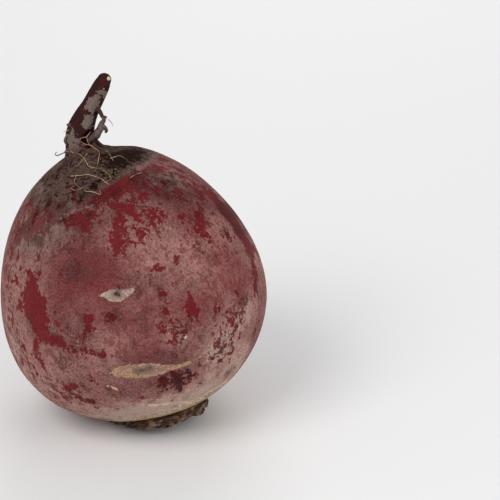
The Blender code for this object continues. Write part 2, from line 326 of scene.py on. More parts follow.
def strokeField(points, strokes, limit=4.0):
    # how deep each point lies inside the nearest stroke; less than zero outside
    deepest = np.full(len(points), -limit)
    for stroke in strokes:
        ends = stroke if len(stroke) > 1 else (stroke[0], stroke[0])
        for start, end in zip(ends, ends[1:]):
            a, b = np.array(start[:3], float), np.array(end[:3], float)
            near = np.abs(points - (a + b) / 2).max(1) < np.abs(b - a).max() / 2 + limit + start[3] + end[3]
            away = points[near] - a
            share = np.clip(away @ (b - a) / max((b - a) @ (b - a), 1e-9), 0, 1)
            width = start[3] + (end[3] - start[3]) * share
            gap = np.linalg.norm(away - share[:, None] * (b - a), axis=1)
            deepest[near] = np.maximum(deepest[near], width - gap)
    return deepest


def onSkin(strokes, step=3.0):
    # strokes given by turn, height and half width, as points in space that follow the skin
    laidOut = []
    for stroke in strokes:
        line = [(*skinPlace(*stroke[0][:2]), stroke[0][2])]
        for start, end in zip(stroke, stroke[1:]):
            chord = np.linalg.norm(skinPlace(*end[:2]) - skinPlace(*start[:2]))
            count = max(1, math.ceil(chord / step))
            for k in range(1, count + 1):
                turn, height, width = np.array(start) + (np.array(end) - start) * k / count
                line.append((*skinPlace(turn, height), width))
        laidOut.append(line)
    return laidOut


def toneField(points, tones):
    total = np.zeros(len(points))
    for turn, height, spread, amount in tones:
        gap = ((points - skinPlace(turn, height))**2).sum(1)
        total += amount * np.exp(-gap / spread**2)
    return total


# Bare crimson patches where the dry film has come off: turn, height and half width along each stroke.
peeledPatches = {
    "left": ((-129, 23.0, 1.0), (-128, 19.8, 3.2), (-129, 15.8, 4.6), (-128, 12.5, 5.8), (-127, 8.5, 4.8),
             (-128, 5.0, 2.8), (-126, 2.2, 2.2), (-118, 0.0, 2.0), (-116, -2.0, 1.6)),
    "leftLobe": ((-140, 12.7, 1.0), (-136, 13.5, 2.0)),
    "leftFall": ((-131, 1.6, 1.2), (-135, -3.5, 1.0), (-133, -6.2, 0.8), (-133, -11.9, 0.5)),
    "leftTrail": ((-127, -14.5, 0.7), (-127, -16.1, 1.7), (-121, -16.4, 1.1)),
    "leftTrailFoot": ((-127, -17.0, 1.0), (-128, -18.7, 1.1)),
    "leftTrailEnd": ((-126, -20.2, 1.1), (-124, -21.9, 1.7), (-120, -23.4, 1.5), (-122, -26.1, 0.7)),
    "leftEdge": ((-146, 9.2, 0.9), (-148, 6.6, 0.7)),
    "middleRed": ((-103, 4.8, 1.2), (-103, 2.5, 1.2), (-104, -1.1, 0.3)),
    "upperDark": ((-101, 36.0, 1.8), (-97, 35.7, 2.6), (-93, 33.2, 2.2), (-93, 30.7, 0.7)),
    "upperDarkTop": ((-93, 35.0, 1.6), (-89, 35.4, 1.2)),
    "upperDrip": ((-96, 29.5, 0.4), (-97, 27.5, 0.2)),
    "topHead": ((-76, 36.0, 0.8), (-72, 34.9, 2.0), (-68, 33.7, 2.0), (-67, 31.1, 1.0)),
    "topNeck": ((-74, 33.9, 1.7), (-77, 30.6, 1.7), (-79, 26.9, 2.3), (-81, 24.2, 2.5), (-82, 21.8, 1.9)),
    "topSpur": ((-80, 23.0, 1.2), (-74, 22.7, 0.7)),
    "neckStreak": ((-100, 48.0, 0.4), (-99, 45.5, 0.6), (-98, 42.5, 0.5), (-97, 40.5, 0.3)),
    "neckBand": ((-88, 38.8, 0.2), (-80, 40.0, 1.0), (-74, 40.7, 1.0), (-61, 41.7, 0.3), (-49, 42.4, 0.3),
                 (-35, 42.8, 1.0), (-24, 41.7, 0.6)),
    "shoulder": ((-19, 31.9, 1.0), (-21, 29.7, 1.2), (-22, 27.1, 0.7)),
    "block": ((-35, 22.9, 1.6), (-39, 19.4, 2.0), (-38, 17.7, 1.4), (-38, 13.9, 0.4)),
    "contour": ((-13, 30.0, 1.5), (-12, 26.0, 3.4), (-12, 20.0, 4.6), (-12, 14.8, 4.6), (-13, 9.0, 3.6),
                (-14, 3.0, 2.4), (-17, -2.0, 1.6), (-20, -6.0, 1.4), (-22, -9.0, 0.8)),
    "glow": ((-59, 0.5, 1.0), (-61, -3.1, 2.0), (-58, -4.4, 1.6), (-59, -6.4, 0.9)),
    "butterfly": ((-75.5, -4.9, 0.8), (-74, -7.2, 1.2), (-73.5, -9.6, 0.8), (-72.5, -11.2, 0.6)),
    "butterflyWing": ((-70, -7.0, 0.9), (-68.5, -8.2, 1.1), (-66.5, -9.6, 0.7)),
    "diagonal": ((-49, -20.3, 0.9), (-51, -21.2, 0.8), (-53, -21.6, 0.7)),
    "scratch": ((-50, -24.2, 0.25), (-39, -22.3, 0.3)),
    "blockA": ((-81, -21.9, 1.2), (-81.5, -24.3, 1.6)),
    "blockAFoot": ((-85, -26.6, 0.4), (-78, -26.9, 0.6)),
    "blockB": ((-75, -21.6, 1.6), (-74, -25.1, 2.1), (-72, -28.2, 1.5)),
    "blockC": ((-69, -21.5, 0.6), (-66, -24.0, 0.9), (-66, -26.6, 0.8), (-69, -27.1, 0.4)),
    "rear": ((60, 24, 1.0), (64, 20, 3.0), (68, 13, 4.0), (62, 6, 2.4), (66, 1, 1.2)),
    "rearHigh": ((120, 36, 1.4), (128, 33, 2.4), (134, 30, 1.4)),
    "rearSide": ((168, 8, 1.0), (172, 2, 2.6), (178, -5, 3.0), (174, -11, 1.6)),
    "rearLow": ((96, -12, 1.6), (104, -16, 2.6), (112, -20, 1.4)),
    "rearBandRight": ((38, 40.5, 0.5), (50, 39.0, 1.5), (58, 40.5, 0.7)),
    "rearBandMiddle": ((92, 41.5, 0.4), (102, 38.5, 1.3), (110, 40.5, 0.5)),
    "rearBandLeft": ((150, 40.0, 0.4), (157, 37.0, 1.5), (164, 39.0, 0.6)),
    "contourLobe": ((-12, 22.0, 2.2), (-3, 19.5, 2.8), (3, 17.0, 1.6), (1, 13.0, 0.8)),
    "contourSpur": ((-12, 8.0, 2.0), (-5, 5.0, 1.8), (-2, 1.5, 0.7)),
    "rightSide": ((22, -4, 1.6), (26, -10, 2.4), (32, -15, 1.2)),
}

# Small bare flecks: turn, height and half width.
flecks = (
    (-146, 43.6, 0.6), (-121, 42.8, 1.1), (-122, 41.3, 0.8), (-112, 40.4, 0.8), (-129, 40.7, 0.5),
    (-130, 38.8, 1.0), (-144, 39.9, 0.6), (-117, 38.4, 0.7), (-141, 42.5, 0.5), (-115, 39.0, 0.5),
    (-109, 40.6, 0.5), (-136, 41.5, 0.5), (-147, 35.6, 0.7), (-149, 32.9, 0.7), (-148, 30.6, 0.7),
    (-140, 28.3, 0.5), (-149, 28.5, 0.5), (-123, 22.6, 0.7), (-136, 25.2, 0.5), (-141, 21.8, 0.7),
    (-139, 20.5, 0.5), (-45, 24.9, 1.2), (-25, 22.6, 0.8), (-25, 13.0, 0.6), (-25, 11.1, 0.6),
    (-25, 7.5, 0.7), (-69, 13.9, 0.6), (-67, 13.4, 0.5), (-58, 13.7, 0.8), (-66, 29.9, 1.1),
    (-57, 30.6, 1.5), (-60, 28.0, 1.1), (-70, 23.9, 1.0), (-74, 23.3, 0.8), (-69, 26.0, 0.6),
    (-70, 4.9, 0.5), (-34, 32.3, 0.8), (-53, 28.5, 0.8), (-69, -4.1, 0.6), (-93, 3.6, 1.2),
    (-70, 0.3, 0.7), (-49, -6.9, 0.8), (-45, -9.2, 0.6), (-43, -11.3, 0.6), (-41, -13.5, 0.6),
    (-33, -11.2, 0.7), (-34, -14.0, 0.8), (-39, -15.2, 0.5), (-40, -16.2, 0.5), (-42, -18.0, 0.6),
    (-36, -18.8, 0.5), (-51, -17.4, 0.5), (-42, -20.1, 0.6), (-53, -21.6, 0.8), (-61, -20.9, 0.6),
    (-113, -4.0, 0.7), (-109, -4.7, 0.7), (-105, -6.4, 0.8), (-101, -8.0, 0.6), (-117, 5.7, 0.6),
    (-115, 3.0, 0.5), (-110, -0.2, 0.5), (-107, -1.1, 0.7), (-112, -15.9, 0.5), (-141, -0.3, 0.6),
    (-144, 4.5, 0.5), (-36, 41, 0.5), (-30, 41, 0.6), (-26, 38, 0.7), (-24, 35, 0.6), (-22, 33, 0.8),
    (-40, 37, 0.6), (-28, 36, 0.5), (-33, 35, 0.5), (-20, 36, 0.6), (-45, 36, 0.5), (-50, 38, 0.6),
    (-55, 36, 0.6), (-60, 35, 0.7), (-17, 33, 0.6), (-140, -8.9, 0.6), (-149, -9.3, 0.5),
    (-134, -19.1, 0.6), (-151, -12.2, 0.5), (-93, -26.5, 0.5), (-76, -31.5, 0.4),
)

# The scars and lines: the same three numbers along each stroke.
scars = {
    "longScar": (((-102, -14.5, 0.4), (-99, -15.2, 1.8), (-93, -16.1, 2.8), (-86, -17.6, 2.8),
                  (-80, -18.8, 1.9),
              (-76, -19.3, 1.1), (-70, -19.9, 0.8), (-66, -20.1, 0.6)),
             ((-66, -20.1, 0.5), (-61, -19.6, 0.3), (-56, -18.7, 0.35), (-51, -17.4, 0.1))),
    "smallScar": (((-95, 11.2, 0.2), (-93, 10.6, 0.8), (-91, 10.4, 1.3), (-90, 9.9, 1.9), (-88, 9.5, 2.2),
               (-87, 9.2, 2.1), (-84, 9.1, 1.5), (-82, 9.3, 0.9), (-80, 9.8, 0.2)),),
    "crease": (((-97, -29.4, 0.3), (-90, -31.0, 0.8), (-82, -32.0, 0.9), (-75, -32.7, 0.6),
                (-65, -34.0, 0.7), (-51, -35.1, 0.5), (-45, -34.0, 0.7), (-33, -32.9, 0.8),
                (-24, -32.7, 0.8), (-20, -30.3, 0.5)),
               ((-106, -19.1, 0.4), (-104, -20.7, 0.3), (-102, -23.0, 0.2)),
               ((60, -30.0, 0.1), (85, -32.0, 0.35), (110, -31.0, 0.3), (135, -33.0, 0.1)),
               ((150, -27.0, 0.1), (165, -28.5, 0.4), (178, -27.5, 0.1))),
    "pits": (((-88.6, 9.9, 0.5), (-87.8, 10.0, 0.8), (-86.8, 9.1, 0.5)),
             ((-86.2, 12.9, 0.2), (-86.2, 11.6, 0.45), (-86.6, 10.4, 0.4)),
             ((-91, -16.6, 0.1), (-87.5, -17.5, 0.4)), ((-85, -17.0, 0.2), (-84.5, -17.4, 0.3)),
             ((-62, -4.6, 0.2), (-61, -6.3, 0.4), (-62, -8.2, 0.2))),
    "cream": (((-66, -11.0, 0.6),),),
}

# Marks of the tail and its foot, in millimetres from the root's axis, each point with its half width.
tailMarks = {
    # the hole and the slit are carved, and their middles are painted near-black as the shade inside them
    "hole": (((1.8, -5.2, 57.3, 1.3), (3.6, -4.8, 57.5, 2.4), (5.2, -3.4, 58.6, 2.1),
              (5.6, -2.0, 60.2, 1.3)),
             ((3.4, -5.0, 57.0, 2.0), (3.5, -5.2, 55.8, 1.4))),
    "slit": (
        ((-2.3, -4.2, 57.9, 0.3), (0.3, -6.2, 56.2, 0.7), (2.6, -6.3, 54.8, 0.5), (3.5, -6.0, 54.5, 0.3)),
    ),
    "dusty": (((11.6, -2.0, 70.8, 0.6), (12.9, -0.8, 69.9, 1.3)),
              ((9.8, -2.4, 69.0, 1.4), (8.6, -2.4, 67.7, 2.6), (7.4, -2.7, 66.8, 1.6)),
              ((6.6, -2.7, 63.9, 0.9), (5.4, -3.2, 63.0, 1.9), (4.2, -3.6, 61.8, 1.8)),
              ((-1.3, -3.9, 60.7, 1.2), (-2.2, -4.2, 58.2, 2.4), (-1.4, -6.3, 55.2, 3.4),
               (3.4, -7.2, 53.4, 2.4)),
              ((3.0, 3.0, 62.0, 2.0), (7.0, 3.0, 67.0, 1.5)), ((-3.0, 3.0, 57.0, 2.5),
              (-1.0, 3.0, 61.0, 1.5))),
    "pale": (((15.8, -0.4, 74.3, 0.75),), ((13.3, -1.6, 71.5, 0.45),), ((7.3, -2.6, 64.8, 0.25),)),
    "holeRelief": (2.2, 0.0, 3.2),      # steepness, start and depth
    "slitRelief": (1.6, 0.1, 0.7),
    # where the skin turns sharply up to the tail: x, y, height, reach and depth
    "pinch": (6.6, -0.6, 54.6, 2.4, 1.9),
}

# Broad changes of tone: turn, height, spread and amount.
tones = {
    # more than zero is dustier, less is darker; the broad pale spots near turn -150 on the left rim are a
    # painted sheen
    "dust": (
        (-152, 8, 14, 0.5), (-150, -12, 14, 0.7), (-128, -30, 12, 0.8), (-100, -35, 11, 0.9),
        (-75, -38, 11, 1.0), (-40, -35, 12, 1.2), (-30, -27, 9, 1.0), (-60, -30, 8, 0.6),
        (-122, 37, 10, -0.1), (-100, 24, 7, 0.1), (-97, 19, 9, -1.0), (-112, 12, 10, -0.35),
        (-120, 4, 8, -0.3), (-84, 15, 7, 0.1), (-70, 15, 8, 0.3), (-60, 22, 8, 0.2), (-45, 12, 10, 0.2),
        (-38, 2, 9, 0.2), (-35, -12, 9, 0.9), (-46, -18, 7, 0.6), (-90, -13, 6, -0.7),
        (-75, -15, 6, -0.6), (-100, -21, 7, -0.3), (-84, -23, 6, -0.4), (-69, -9, 6, 0.9),
        (-60, -3, 7, -0.2), (-22, -14, 6, 0.5), (-22, -19, 6, -0.8), (-21, 30, 7, -0.3), (-12, 2, 8, 0.5),
        (-126, 16, 6, 0.1), (-40, 34, 7, -0.9), (-42, 6, 10, 0.6), (-30, -4, 9, 0.1), (-88, -1, 9, -0.2),
        (-97, 34, 5, -0.7), (-136, 38, 8, 0.8), (-118, 37, 7, 0.9), (-102, 40, 5, 0.8), (-88, 35, 4, 0.1),
        (-78, 40, 4, -0.4), (-66, 41, 4, -0.6), (-52, 42, 5, -0.8), (-38, 41, 5, -0.8),
        (-12, 20, 6, -0.35), (-13, 11, 6, -0.35), (-47, 38, 5, -0.7), (-103, -7, 8, 0.5),
        (-41, 15, 7, 0.8), (-81, -32, 9, 0.5), (-109, -25, 9, 0.1), (-97, -34, 7, 0.9),
        (-42, 23, 7, -0.4), (-66, 33, 6, -0.4), (-12, 5, 6, 0.4), (-26, 3, 6, 0.5), (-104, -8, 5, -0.3),
        (-20, 25, 6, -0.3), (-93, -5, 7, 0.7), (-101, 13, 5, 0.6), (-52, -20, 6, 1.0), (-25, 15, 6, 0.8),
        (-86, 34, 6, -0.4), (-30, 37, 3, 1.2), (-43, 43, 3, 1.0), (-24, 40, 3, 0.4), (-34, 39, 3, -0.4),
        (-46, 39, 3, 0.7), (-20, 34, 3, 0.3), (-28, -8, 6, 0.8), (-40, 15, 5, 0.4), (30, 15, 16, 0.4),
        (60, -10, 15, -0.3), (95, 20, 18, 0.5), (130, -5, 18, 0.3), (170, 18, 16, -0.2),
        (160, -25, 16, 0.7), (60, -30, 16, 0.7), (0, -28, 12, -0.3),
    ),
    # where more of the crimson shows through
    "red": (
        (-110, 25, 9, 0.5), (-98, 17, 10, 1.1), (-82, 17, 8, 0.5), (-75, 1, 12, 0.6), (-58, -4, 8, 1.0),
        (-62, 18, 9, 0.4), (-33, 0, 11, 0.6), (-45, -5, 9, 0.4), (-100, -6, 10, 0.4), (-85, -8, 9, 0.6),
        (-36, 8, 9, 0.5), (-42, 23, 7, 0.7), (-31, -1, 8, 0.8), (-19, 29, 6, 0.5), (-30, 14, 9, 0.6),
        (-95, 5, 9, 0.5), (-115, 14, 9, 0.5), (40, 0, 16, 0.6), (100, 5, 16, 0.5), (150, 10, 16, 0.6),
        (-18, -2, 8, 0.7), (70, 28, 10, 0.5), (-42, 6, 10, 0.5), (-40, 16, 8, 0.5), (-26, -6, 8, 0.4),
    ),
    # the grey-brown of the neck and its hollow; where it is highest it also places the painted shade inside
    # the hollow
    "neck": (
        (-36, 50, 6, 1.5), (-24, 48.5, 5, 1.2), (-50, 47.5, 5, 1.2), (-64, 46.5, 4, 1.0),
        (-86, 44.0, 4, 1.1), (-70, 44.5, 3, 0.6), (-72, 50, 5, 0.3), (-104, 41, 7, 0.45),
        (-118, 44, 7, 0.45), (-98, 47, 6, 0.3), (-132, 46, 8, 0.4), (-138, 36, 9, 0.45),
        (-116, 36, 8, 0.42), (-92, 38, 5, 0.2), (-40, 38, 4, 0.5), (-31, 36, 4, 0.5), (-22, 35, 4, 0.35),
        (30, 48, 8, 0.6), (90, 47, 8, 0.6), (150, 47, 8, 0.7),
    ),
    # where small flecks are many
    "flecked": (
        (-130, 40, 12, 0.6), (-150, 36, 9, 0.9), (-152, 20, 10, 0.7), (-150, 0, 10, 0.8),
        (-142, -14, 9, 0.6), (-128, -22, 8, 0.4), (-108, 38, 7, 0.4), (-66, 34, 7, 0.6),
        (-60, 26, 6, 0.5), (-40, 33, 7, 0.6), (-26, 22, 8, 0.5), (-30, 10, 8, 0.4), (-38, -12, 8, 0.8),
        (-48, -20, 6, 0.7), (-68, -10, 6, 0.5), (-120, 4, 8, 0.4), (-84, 32, 5, 0.3), (-20, 37, 8, 1.0),
        (-126, 38, 6, 0.8), (-112, 41, 6, 0.8), (-92, 38.5, 3, 0.9), (-83, 39.5, 4, 1.2),
        (-74, 40.5, 4, 1.3), (-63, 41.5, 4, 1.1), (-52, 42, 4, 1.0), (-42, 40, 5, 0.8), (20, 25, 14, 0.8),
        (60, 5, 14, 0.8), (90, 35, 12, 0.8), (130, 10, 14, 0.8), (165, 30, 12, 0.8), (150, -15, 14, 0.7),
        (100, -15, 12, 0.7), (40, -20, 12, 0.6),
    ),
    # where the bare patches are darker: mostly their own deeper crimson, but the spot at turn -13 by the
    # right contour is painted shade
    "deep": (
        (-97, 34, 7, 0.1), (-76, -25, 9, 0.6), (-92, 39, 6, 0.3), (-75, 41, 5, 0.3), (-50, 42, 6, 0.3),
        (-38, 33, 7, 0.15), (-126, -22, 7, 0.2), (-60, 0, 6, -0.2), (-13, 22, 9, 0.35), (60, 10, 14, 0.2),
        (150, 20, 14, 0.3),
    ),
}

# One class wraps a socket and does the sums

class Wire:
    def __init__(self, sheet, socket):
        self.sheet = sheet
        self.socket = socket

    def also(self, output):
        # another output of the same node
        return Wire(self.sheet, self.socket.node.outputs[output])

    def sum(self, operation, first, second=0.0):
        return self.sheet.add("ShaderNodeMath", {"operation": operation}, {0: first, 1: second})

    def __add__(self, other):
        return self.sum("ADD", self, other)

    def __radd__(self, other):
        return self.sum("ADD", other, self)

    def __sub__(self, other):
        return self.sum("SUBTRACT", self, other)

    def __rsub__(self, other):
        return self.sum("SUBTRACT", other, self)

    def __mul__(self, other):
        return self.sum("MULTIPLY", self, other)

    def __rmul__(self, other):
        return self.sum("MULTIPLY", other, self)

    def __truediv__(self, other):
        return self.sum("DIVIDE", self, other)

    def __rtruediv__(self, other):
        return self.sum("DIVIDE", other, self)

    def higher(self, other):
        return self.sum("MAXIMUM", self, other)

    def sine(self):
        return self.sum("SINE", self)

    def rise(self, low, high):
        # 0 below low, 1 above high, smooth between
        span = {"Value": self, "From Min": low, "From Max": high}
        return self.sheet.add("ShaderNodeMapRange", {"interpolation_type": "SMOOTHSTEP"}, span)


class Sheet:
    def __init__(self, tree):
        self.tree = tree

    def add(self, kind, settings=None, sockets=None, output=0):
        node = self.tree.nodes.new(kind)
        for name, value in (settings or {}).items():
            if name == "stops":
                self.setStops(node.color_ramp, value)
            else:
                setattr(node, name, value)
        for name, value in (sockets or {}).items():
            if isinstance(value, Wire):
                self.tree.links.new(value.socket, node.inputs[name])
            else:
                node.inputs[name].default_value = value
        return Wire(self, node.outputs[output]) if node.outputs else None

    def setStops(self, ramp, stops):
        while len(ramp.elements) < len(stops):
            ramp.elements.new(1.0)
        for element, (place, color) in zip(ramp.elements, stops):
            element.position = place
            element.color = color

    def mix(self, share, first, second, blend="MIX"):
        settings = {"data_type": "RGBA", "blend_type": blend}
        return self.add("ShaderNodeMix", settings, {0: share, 6: first, 7: second}, 2)

    def noise(self, place, size, detail=3.0, roughness=0.55, distortion=0.0):
        # features of about this size in millimetres
        sockets = {"Vector": place, "Scale": 1 / (size * mm), "Detail": detail, "Roughness": roughness,
                   "Distortion": distortion}
        return self.add("ShaderNodeTexNoise", None, sockets)

    def nudge(self, place, scale, amount):
        # a push in any direction, from noise
        push = self.add("ShaderNodeTexNoise", None, {"Vector": place, "Scale": scale}, "Color")
        push = self.add("ShaderNodeVectorMath", {"operation": "SUBTRACT"}, {0: push, 1: (0.5, 0.5, 0.5)})
        return self.add("ShaderNodeVectorMath", {"operation": "SCALE"}, {0: push, "Scale": amount})

    def field(self, name, output="Fac"):
        return self.add("ShaderNodeAttribute", {"attribute_name": name}, None, output)

    def parts(self, vector):
        split = self.add("ShaderNodeSeparateXYZ", None, {0: vector})
        return split, split.also(1), split.also(2)


def paint(red, green, blue):
    # a screen colour out of 255, as the light that the shader wants
    def light(value):
        share = value / 255
        return share / 12.92 if share <= 0.04045 else ((share + 0.055) / 1.055)**2.4
    return (light(red), light(green), light(blue), 1.0)


def newMaterial(name):
    material = bpy.data.materials.new(name)
    material.use_nodes = True
    material.node_tree.nodes.clear()
    return material, Sheet(material.node_tree)


def finishMaterial(sheet, sockets, bumps):
    # bumps: height and distance in millimetres, the broadest first
    normal = None
    for height, distance in bumps:
        lumps = {"Height": height, "Distance": distance * mm, "Strength": 1.0}
        if normal is not None:
            lumps["Normal"] = normal
        normal = sheet.add("ShaderNodeBump", None, lumps)
    shader = sheet.add("ShaderNodeBsdfPrincipled", None, {**sockets, "Normal": normal})
    sheet.add("ShaderNodeOutputMaterial", None, {"Surface": shader})

def weighed(fields, weights):
    # the fields added up, each by its weight
    return sum(fields[name] * weight for name, weight in weights.items())


# The skin's finish. Every mark is a mask, and every tone is laid over the last where its mask shows it.

# The values that the skin carries, in threes
skinFields = {
    "tones": ("dust", "red", "neck"),
    "marks": ("peel", "longScar", "smallScar"),
    "lines": ("crease", "pits", "cream"),
    "ends": ("tailShare", "cork", "torn"),
    "extras": ("flecked", "tailDusty", "deep"),
}

# Noise about zero that breaks the marks up: what it follows, its size in millimetres, detail, roughness and
# distortion
skinNoises = {
    "broad": ("place", 22, 3, 0.55, 0.0),
    "blotch": ("place", 9, 5, 0.62, 0.0),
    "smudge": ("place", 5, 5, 0.65, 0.6),
    "ragged": ("grain", 3.6, 8, 0.68, 0.0),
    "fine": ("place", 1.5, 6, 0.72, 0.0),
    "speck": ("place", 0.6, 3, 0.75, 0.0),
    "dots": ("place", 0.42, 2, 0.6, 0.0),
    "flake": ("place", 2.2, 5, 0.62, 0.0),
    "chips": ("grain", 2.1, 8, 0.70, 0.0),
}

skinPaint = {
    "filmDark": (93, 50, 50),
    "filmPale": (169, 124, 117),
    "filmWash": (125, 57, 60),
    "filmRed": (112, 38, 42),
    "filmShade": (80, 36, 38),
    "freckle": (196, 164, 152),
    "ash": (178, 152, 140),
    "ashGrey": (128, 108, 101),
    "endAsh": (210, 190, 168),
    "endShade": (140, 114, 106),
    "soot": (82, 60, 56),
    "bare": (111, 26, 32),
    # deeper crimson of bare skin, also used as painted shade by the neck and at the right contour
    "bareDeepAndShade": (58, 18, 20),
    "neckDust": (55, 37, 32),
    "neckPale": (104, 82, 74),
    # painted shade: the near-black inside the neck's hollow
    "neckHollowShade": (34, 19, 14),
    "tailDark": (50, 31, 29),
    "tailDust": (124, 107, 100),
    "tailRed": (70, 33, 33),
    "tornRed": (66, 12, 16),
    # painted shade: the near-black inside the hole and slit at the tail's foot
    "holeShade": (14, 4, 5),
    "scarTan": (168, 136, 92),
    "scarCream": (180, 162, 144),
    "scarMauve": (146, 112, 106),
    "scarGrey": (96, 78, 78),
    "scarFlesh": (182, 150, 132),
    "scarPit": (48, 34, 30),
    "creaseTan": (218, 192, 156),
    "cream": (222, 206, 176),
    "corkTan": (202, 174, 128),
    "corkDark": (152, 122, 84),
    "corkGreen": (124, 116, 74),
    "heartMauve": (84, 42, 56),
    "heartPale": (140, 100, 104),
}

# Masks: the weights of what they are added up from, then the sums at which they start and are full
skinMasks = {
    "pale": ({"dust": 0.55, "broad": 1, "blotch": 1.3, "smudge": 1.3, "fine": 0.8, "speck": 0.9}, -0.58,
             0.62),
    "washed": ({"red": 1, "blotch": 1.6, "broad": 1, "dust": -0.4}, 0.2, 1.5),
    "flaked": ({"red": 0.2, "neck": -0.5, "blotch": 2.5, "smudge": 2.5, "ragged": 1.6, "fine": 4.5}, 0.25,
               0.40),
    "ashy": ({"dust": 0.85, "red": -0.6, "smudge": 1.8, "ragged": 2, "speck": 1.2, "fine": 2}, 0.50, 1.05),
    "rootEnd": ({"cork": 1.8, "blotch": 1.2, "ragged": 0.8, "fine": 1.2, "speck": 1.4}, 0.6, 1.6),
    "endMottle": ({"fine": 8, "speck": 8, "smudge": 2}, -0.5, 0.5),
    "sooty": ({"smudge": 3, "blotch": 1.5, "dust": -0.55, "fine": 1}, 0.25, 0.95),
    "shaded": ({"blotch": 2, "smudge": 1.5, "fine": 1, "dust": -0.8}, 0.35, 1.2),
    "freckled": ({"dots": 1}, 0.12, 0.24),
    "nearNeck": ({"neck": 1}, 0.0, 0.3),
    "byNeck": ({"neck": 1}, 0.25, 0.65),
    "inNeck": ({"neck": 1}, 0.4, 1.4),
    "greyed": ({"neck": 1, "smudge": 0.6, "fine": 0.8}, 0.05, 0.45),
    "necked": ({"neck": 1.1, "blotch": 2.4, "smudge": 1, "ragged": 1.6, "fine": 1.5}, 0.02, 0.95),
    "neckMottle": ({"fine": 2.4, "speck": 2.8, "smudge": 1}, -0.4, 0.6),
    # where the painted shade of the neck's hollow goes
    "neckDark": ({"neck": 0.9, "blotch": 1.5, "ragged": 4.5, "fine": 6}, 1.00, 1.40),
    "flaky": ({"flake": 1}, 0.10, 0.14),
    "peeledEdge": ({"peel": 1, "smudge": 3, "ragged": 7.5, "fine": 10}, -0.05, 0.12),
    "chipped": ({"chips": 1, "blotch": 0.35, "flecked": 0.16}, 0.142, 0.160),
    # bare skin takes its darker tone where 'deep' is high and by the neck; by the neck this is painted shade
    "crimson": ({"broad": 1.5, "fine": 1.6, "speck": 1.5, "smudge": 1, "deep": -1, "inNeck": -1}, -0.64,
                0.16),
    "onTail": ({"tailShare": 1, "blotch": 0.8}, 0.25, 0.7),
    "tailRedness": ({"smudge": 3, "fine": 3}, -0.2, 0.7),
    "tailPatch": ({"tailDusty": 1, "smudge": 4, "fine": 6}, -0.1, 0.2),
    "corky": ({"cork": 1, "blotch": 0.9, "ragged": 0.9, "fine": 0.8}, 0.86, 1.0),
    "corkMottle": ({"fine": 3, "speck": 3}, -0.35, 0.45),
    "corkStain": ({"blotch": 5, "smudge": 3}, 0.3, 0.9),
    "cutHeart": ({"cork": 1, "fine": 0.4, "smudge": 0.2}, 1.06, 1.16),
    "scarred": ({"longScar": 1, "ragged": 1.5, "fine": 3}, -0.1, 0.15),
    "scarMottle": ({"smudge": 6, "fine": 7, "speck": 4}, -0.4, 0.6),
    "scarFlecks": ({"speck": 5, "ragged": 3}, 0.0, 0.7),
    "scarRim": ({"longScar": -1, "ragged": -1.5, "smudge": -4, "fine": -6}, -0.6, -0.2),
    "rimMottle": ({"fine": 8}, -0.5, 0.5),
    "scarMiddle": ({"pits": 1, "ragged": 4, "fine": 4}, -1.6, -0.2),
    "smallScarred": ({"smallScar": 1, "fine": 1.2}, -0.05, 0.1),
    "smallMottle": ({"speck": 4, "fine": 5}, -0.55, 0.45),
    "smallMiddle": ({"pits": 1, "fine": 3}, -1.2, 0.0),
    "pitted": ({"pits": 1, "fine": 1.5, "speck": 1}, -0.1, 0.3),
    "creased": ({"crease": 1, "fine": 4, "ragged": 3}, -0.1, 0.3),
    "creamy": ({"cream": 1, "fine": 1.2}, 0.0, 0.25),
    "tornEdge": ({"torn": 1, "fine": 2, "ragged": 2}, 0.0, 0.4),
    # where the painted shade inside the hole and slit goes
    "tornMiddle": ({"torn": 1, "fine": 2, "ragged": 2}, 0.5, 1.1),
}
skinRings = ({"cork": 34, "smudge": 5, "fine": 2}, -0.4, 0.9)

# Coats: the first tone, then each tone laid over it with its strength and its mask
skinCoats = {
    "ashes": ("ash", ("ashGrey", 1, "nearNeck")),
    "endSkin": ("endShade", ("endAsh", 1, "endMottle")),
    "film": ("filmDark", ("filmPale", 1, "pale"), ("filmWash", 0.55, "washed"), ("filmRed", 0.62, "flaked"),
             ("ashes", 1, "ashy"), ("endSkin", 0.85, "rootEnd"), ("soot", 0.55, "sooty"),
             ("filmShade", 0.7, "shaded"), ("freckle", 0.20, "freckled")),
    "neckSkin": ("neckDust", ("neckPale", 1, "neckMottle")),
    "bareSkin": ("bareDeepAndShade", ("bare", 1, "crimson")),
    "tailSkin": ("tailDark", ("tailRed", 1, "tailRedness"), ("tailDust", 1, "tailDusted")),
    "corkSkin": ("corkDark", ("corkTan", 1, "corkMottle"), ("corkGreen", 0.4, "corkStain")),
    "heartSkin": ("heartMauve", ("heartPale", 0.8, "yearRings")),
    "rimSkin": ("scarTan", ("scarCream", 1, "rimMottle")),
    "scarSkin": ("scarMauve", ("scarTan", 1, "scarMottle"), ("scarFlesh", 0.6, "scarFlecks"),
                 ("rimSkin", 0.7, "scarRim"), ("scarGrey", 0.7, "scarMiddle")),
    "smallScarSkin": ("scarMauve", ("scarCream", 1, "smallMottle"), ("scarGrey", 0.5, "smallMiddle")),
    "skin": ("film", ("ashGrey", 0.7, "greyed"), ("neckSkin", 0.9, "necked"), ("bareSkin", 1, "peeled"),
             # the first coat on the next line is the painted shade of the neck's hollow
             ("neckHollowShade", 1, "hollowShaded"), ("tailSkin", 1, "onTail"), ("corkSkin", 1, "corky"),
             ("heartSkin", 1, "cutHeart"), ("scarSkin", 0.92, "scarred"),
             ("smallScarSkin", 1, "smallScarred"),
             ("scarPit", 0.9, "pitted"), ("creaseTan", 0.8, "creased"), ("cream", 0.9, "creamy"),
             # the last coat here is the painted shade inside the hole and slit
             ("tornRed", 1, "tornEdge"), ("holeShade", 1, "tornMiddle")),
}

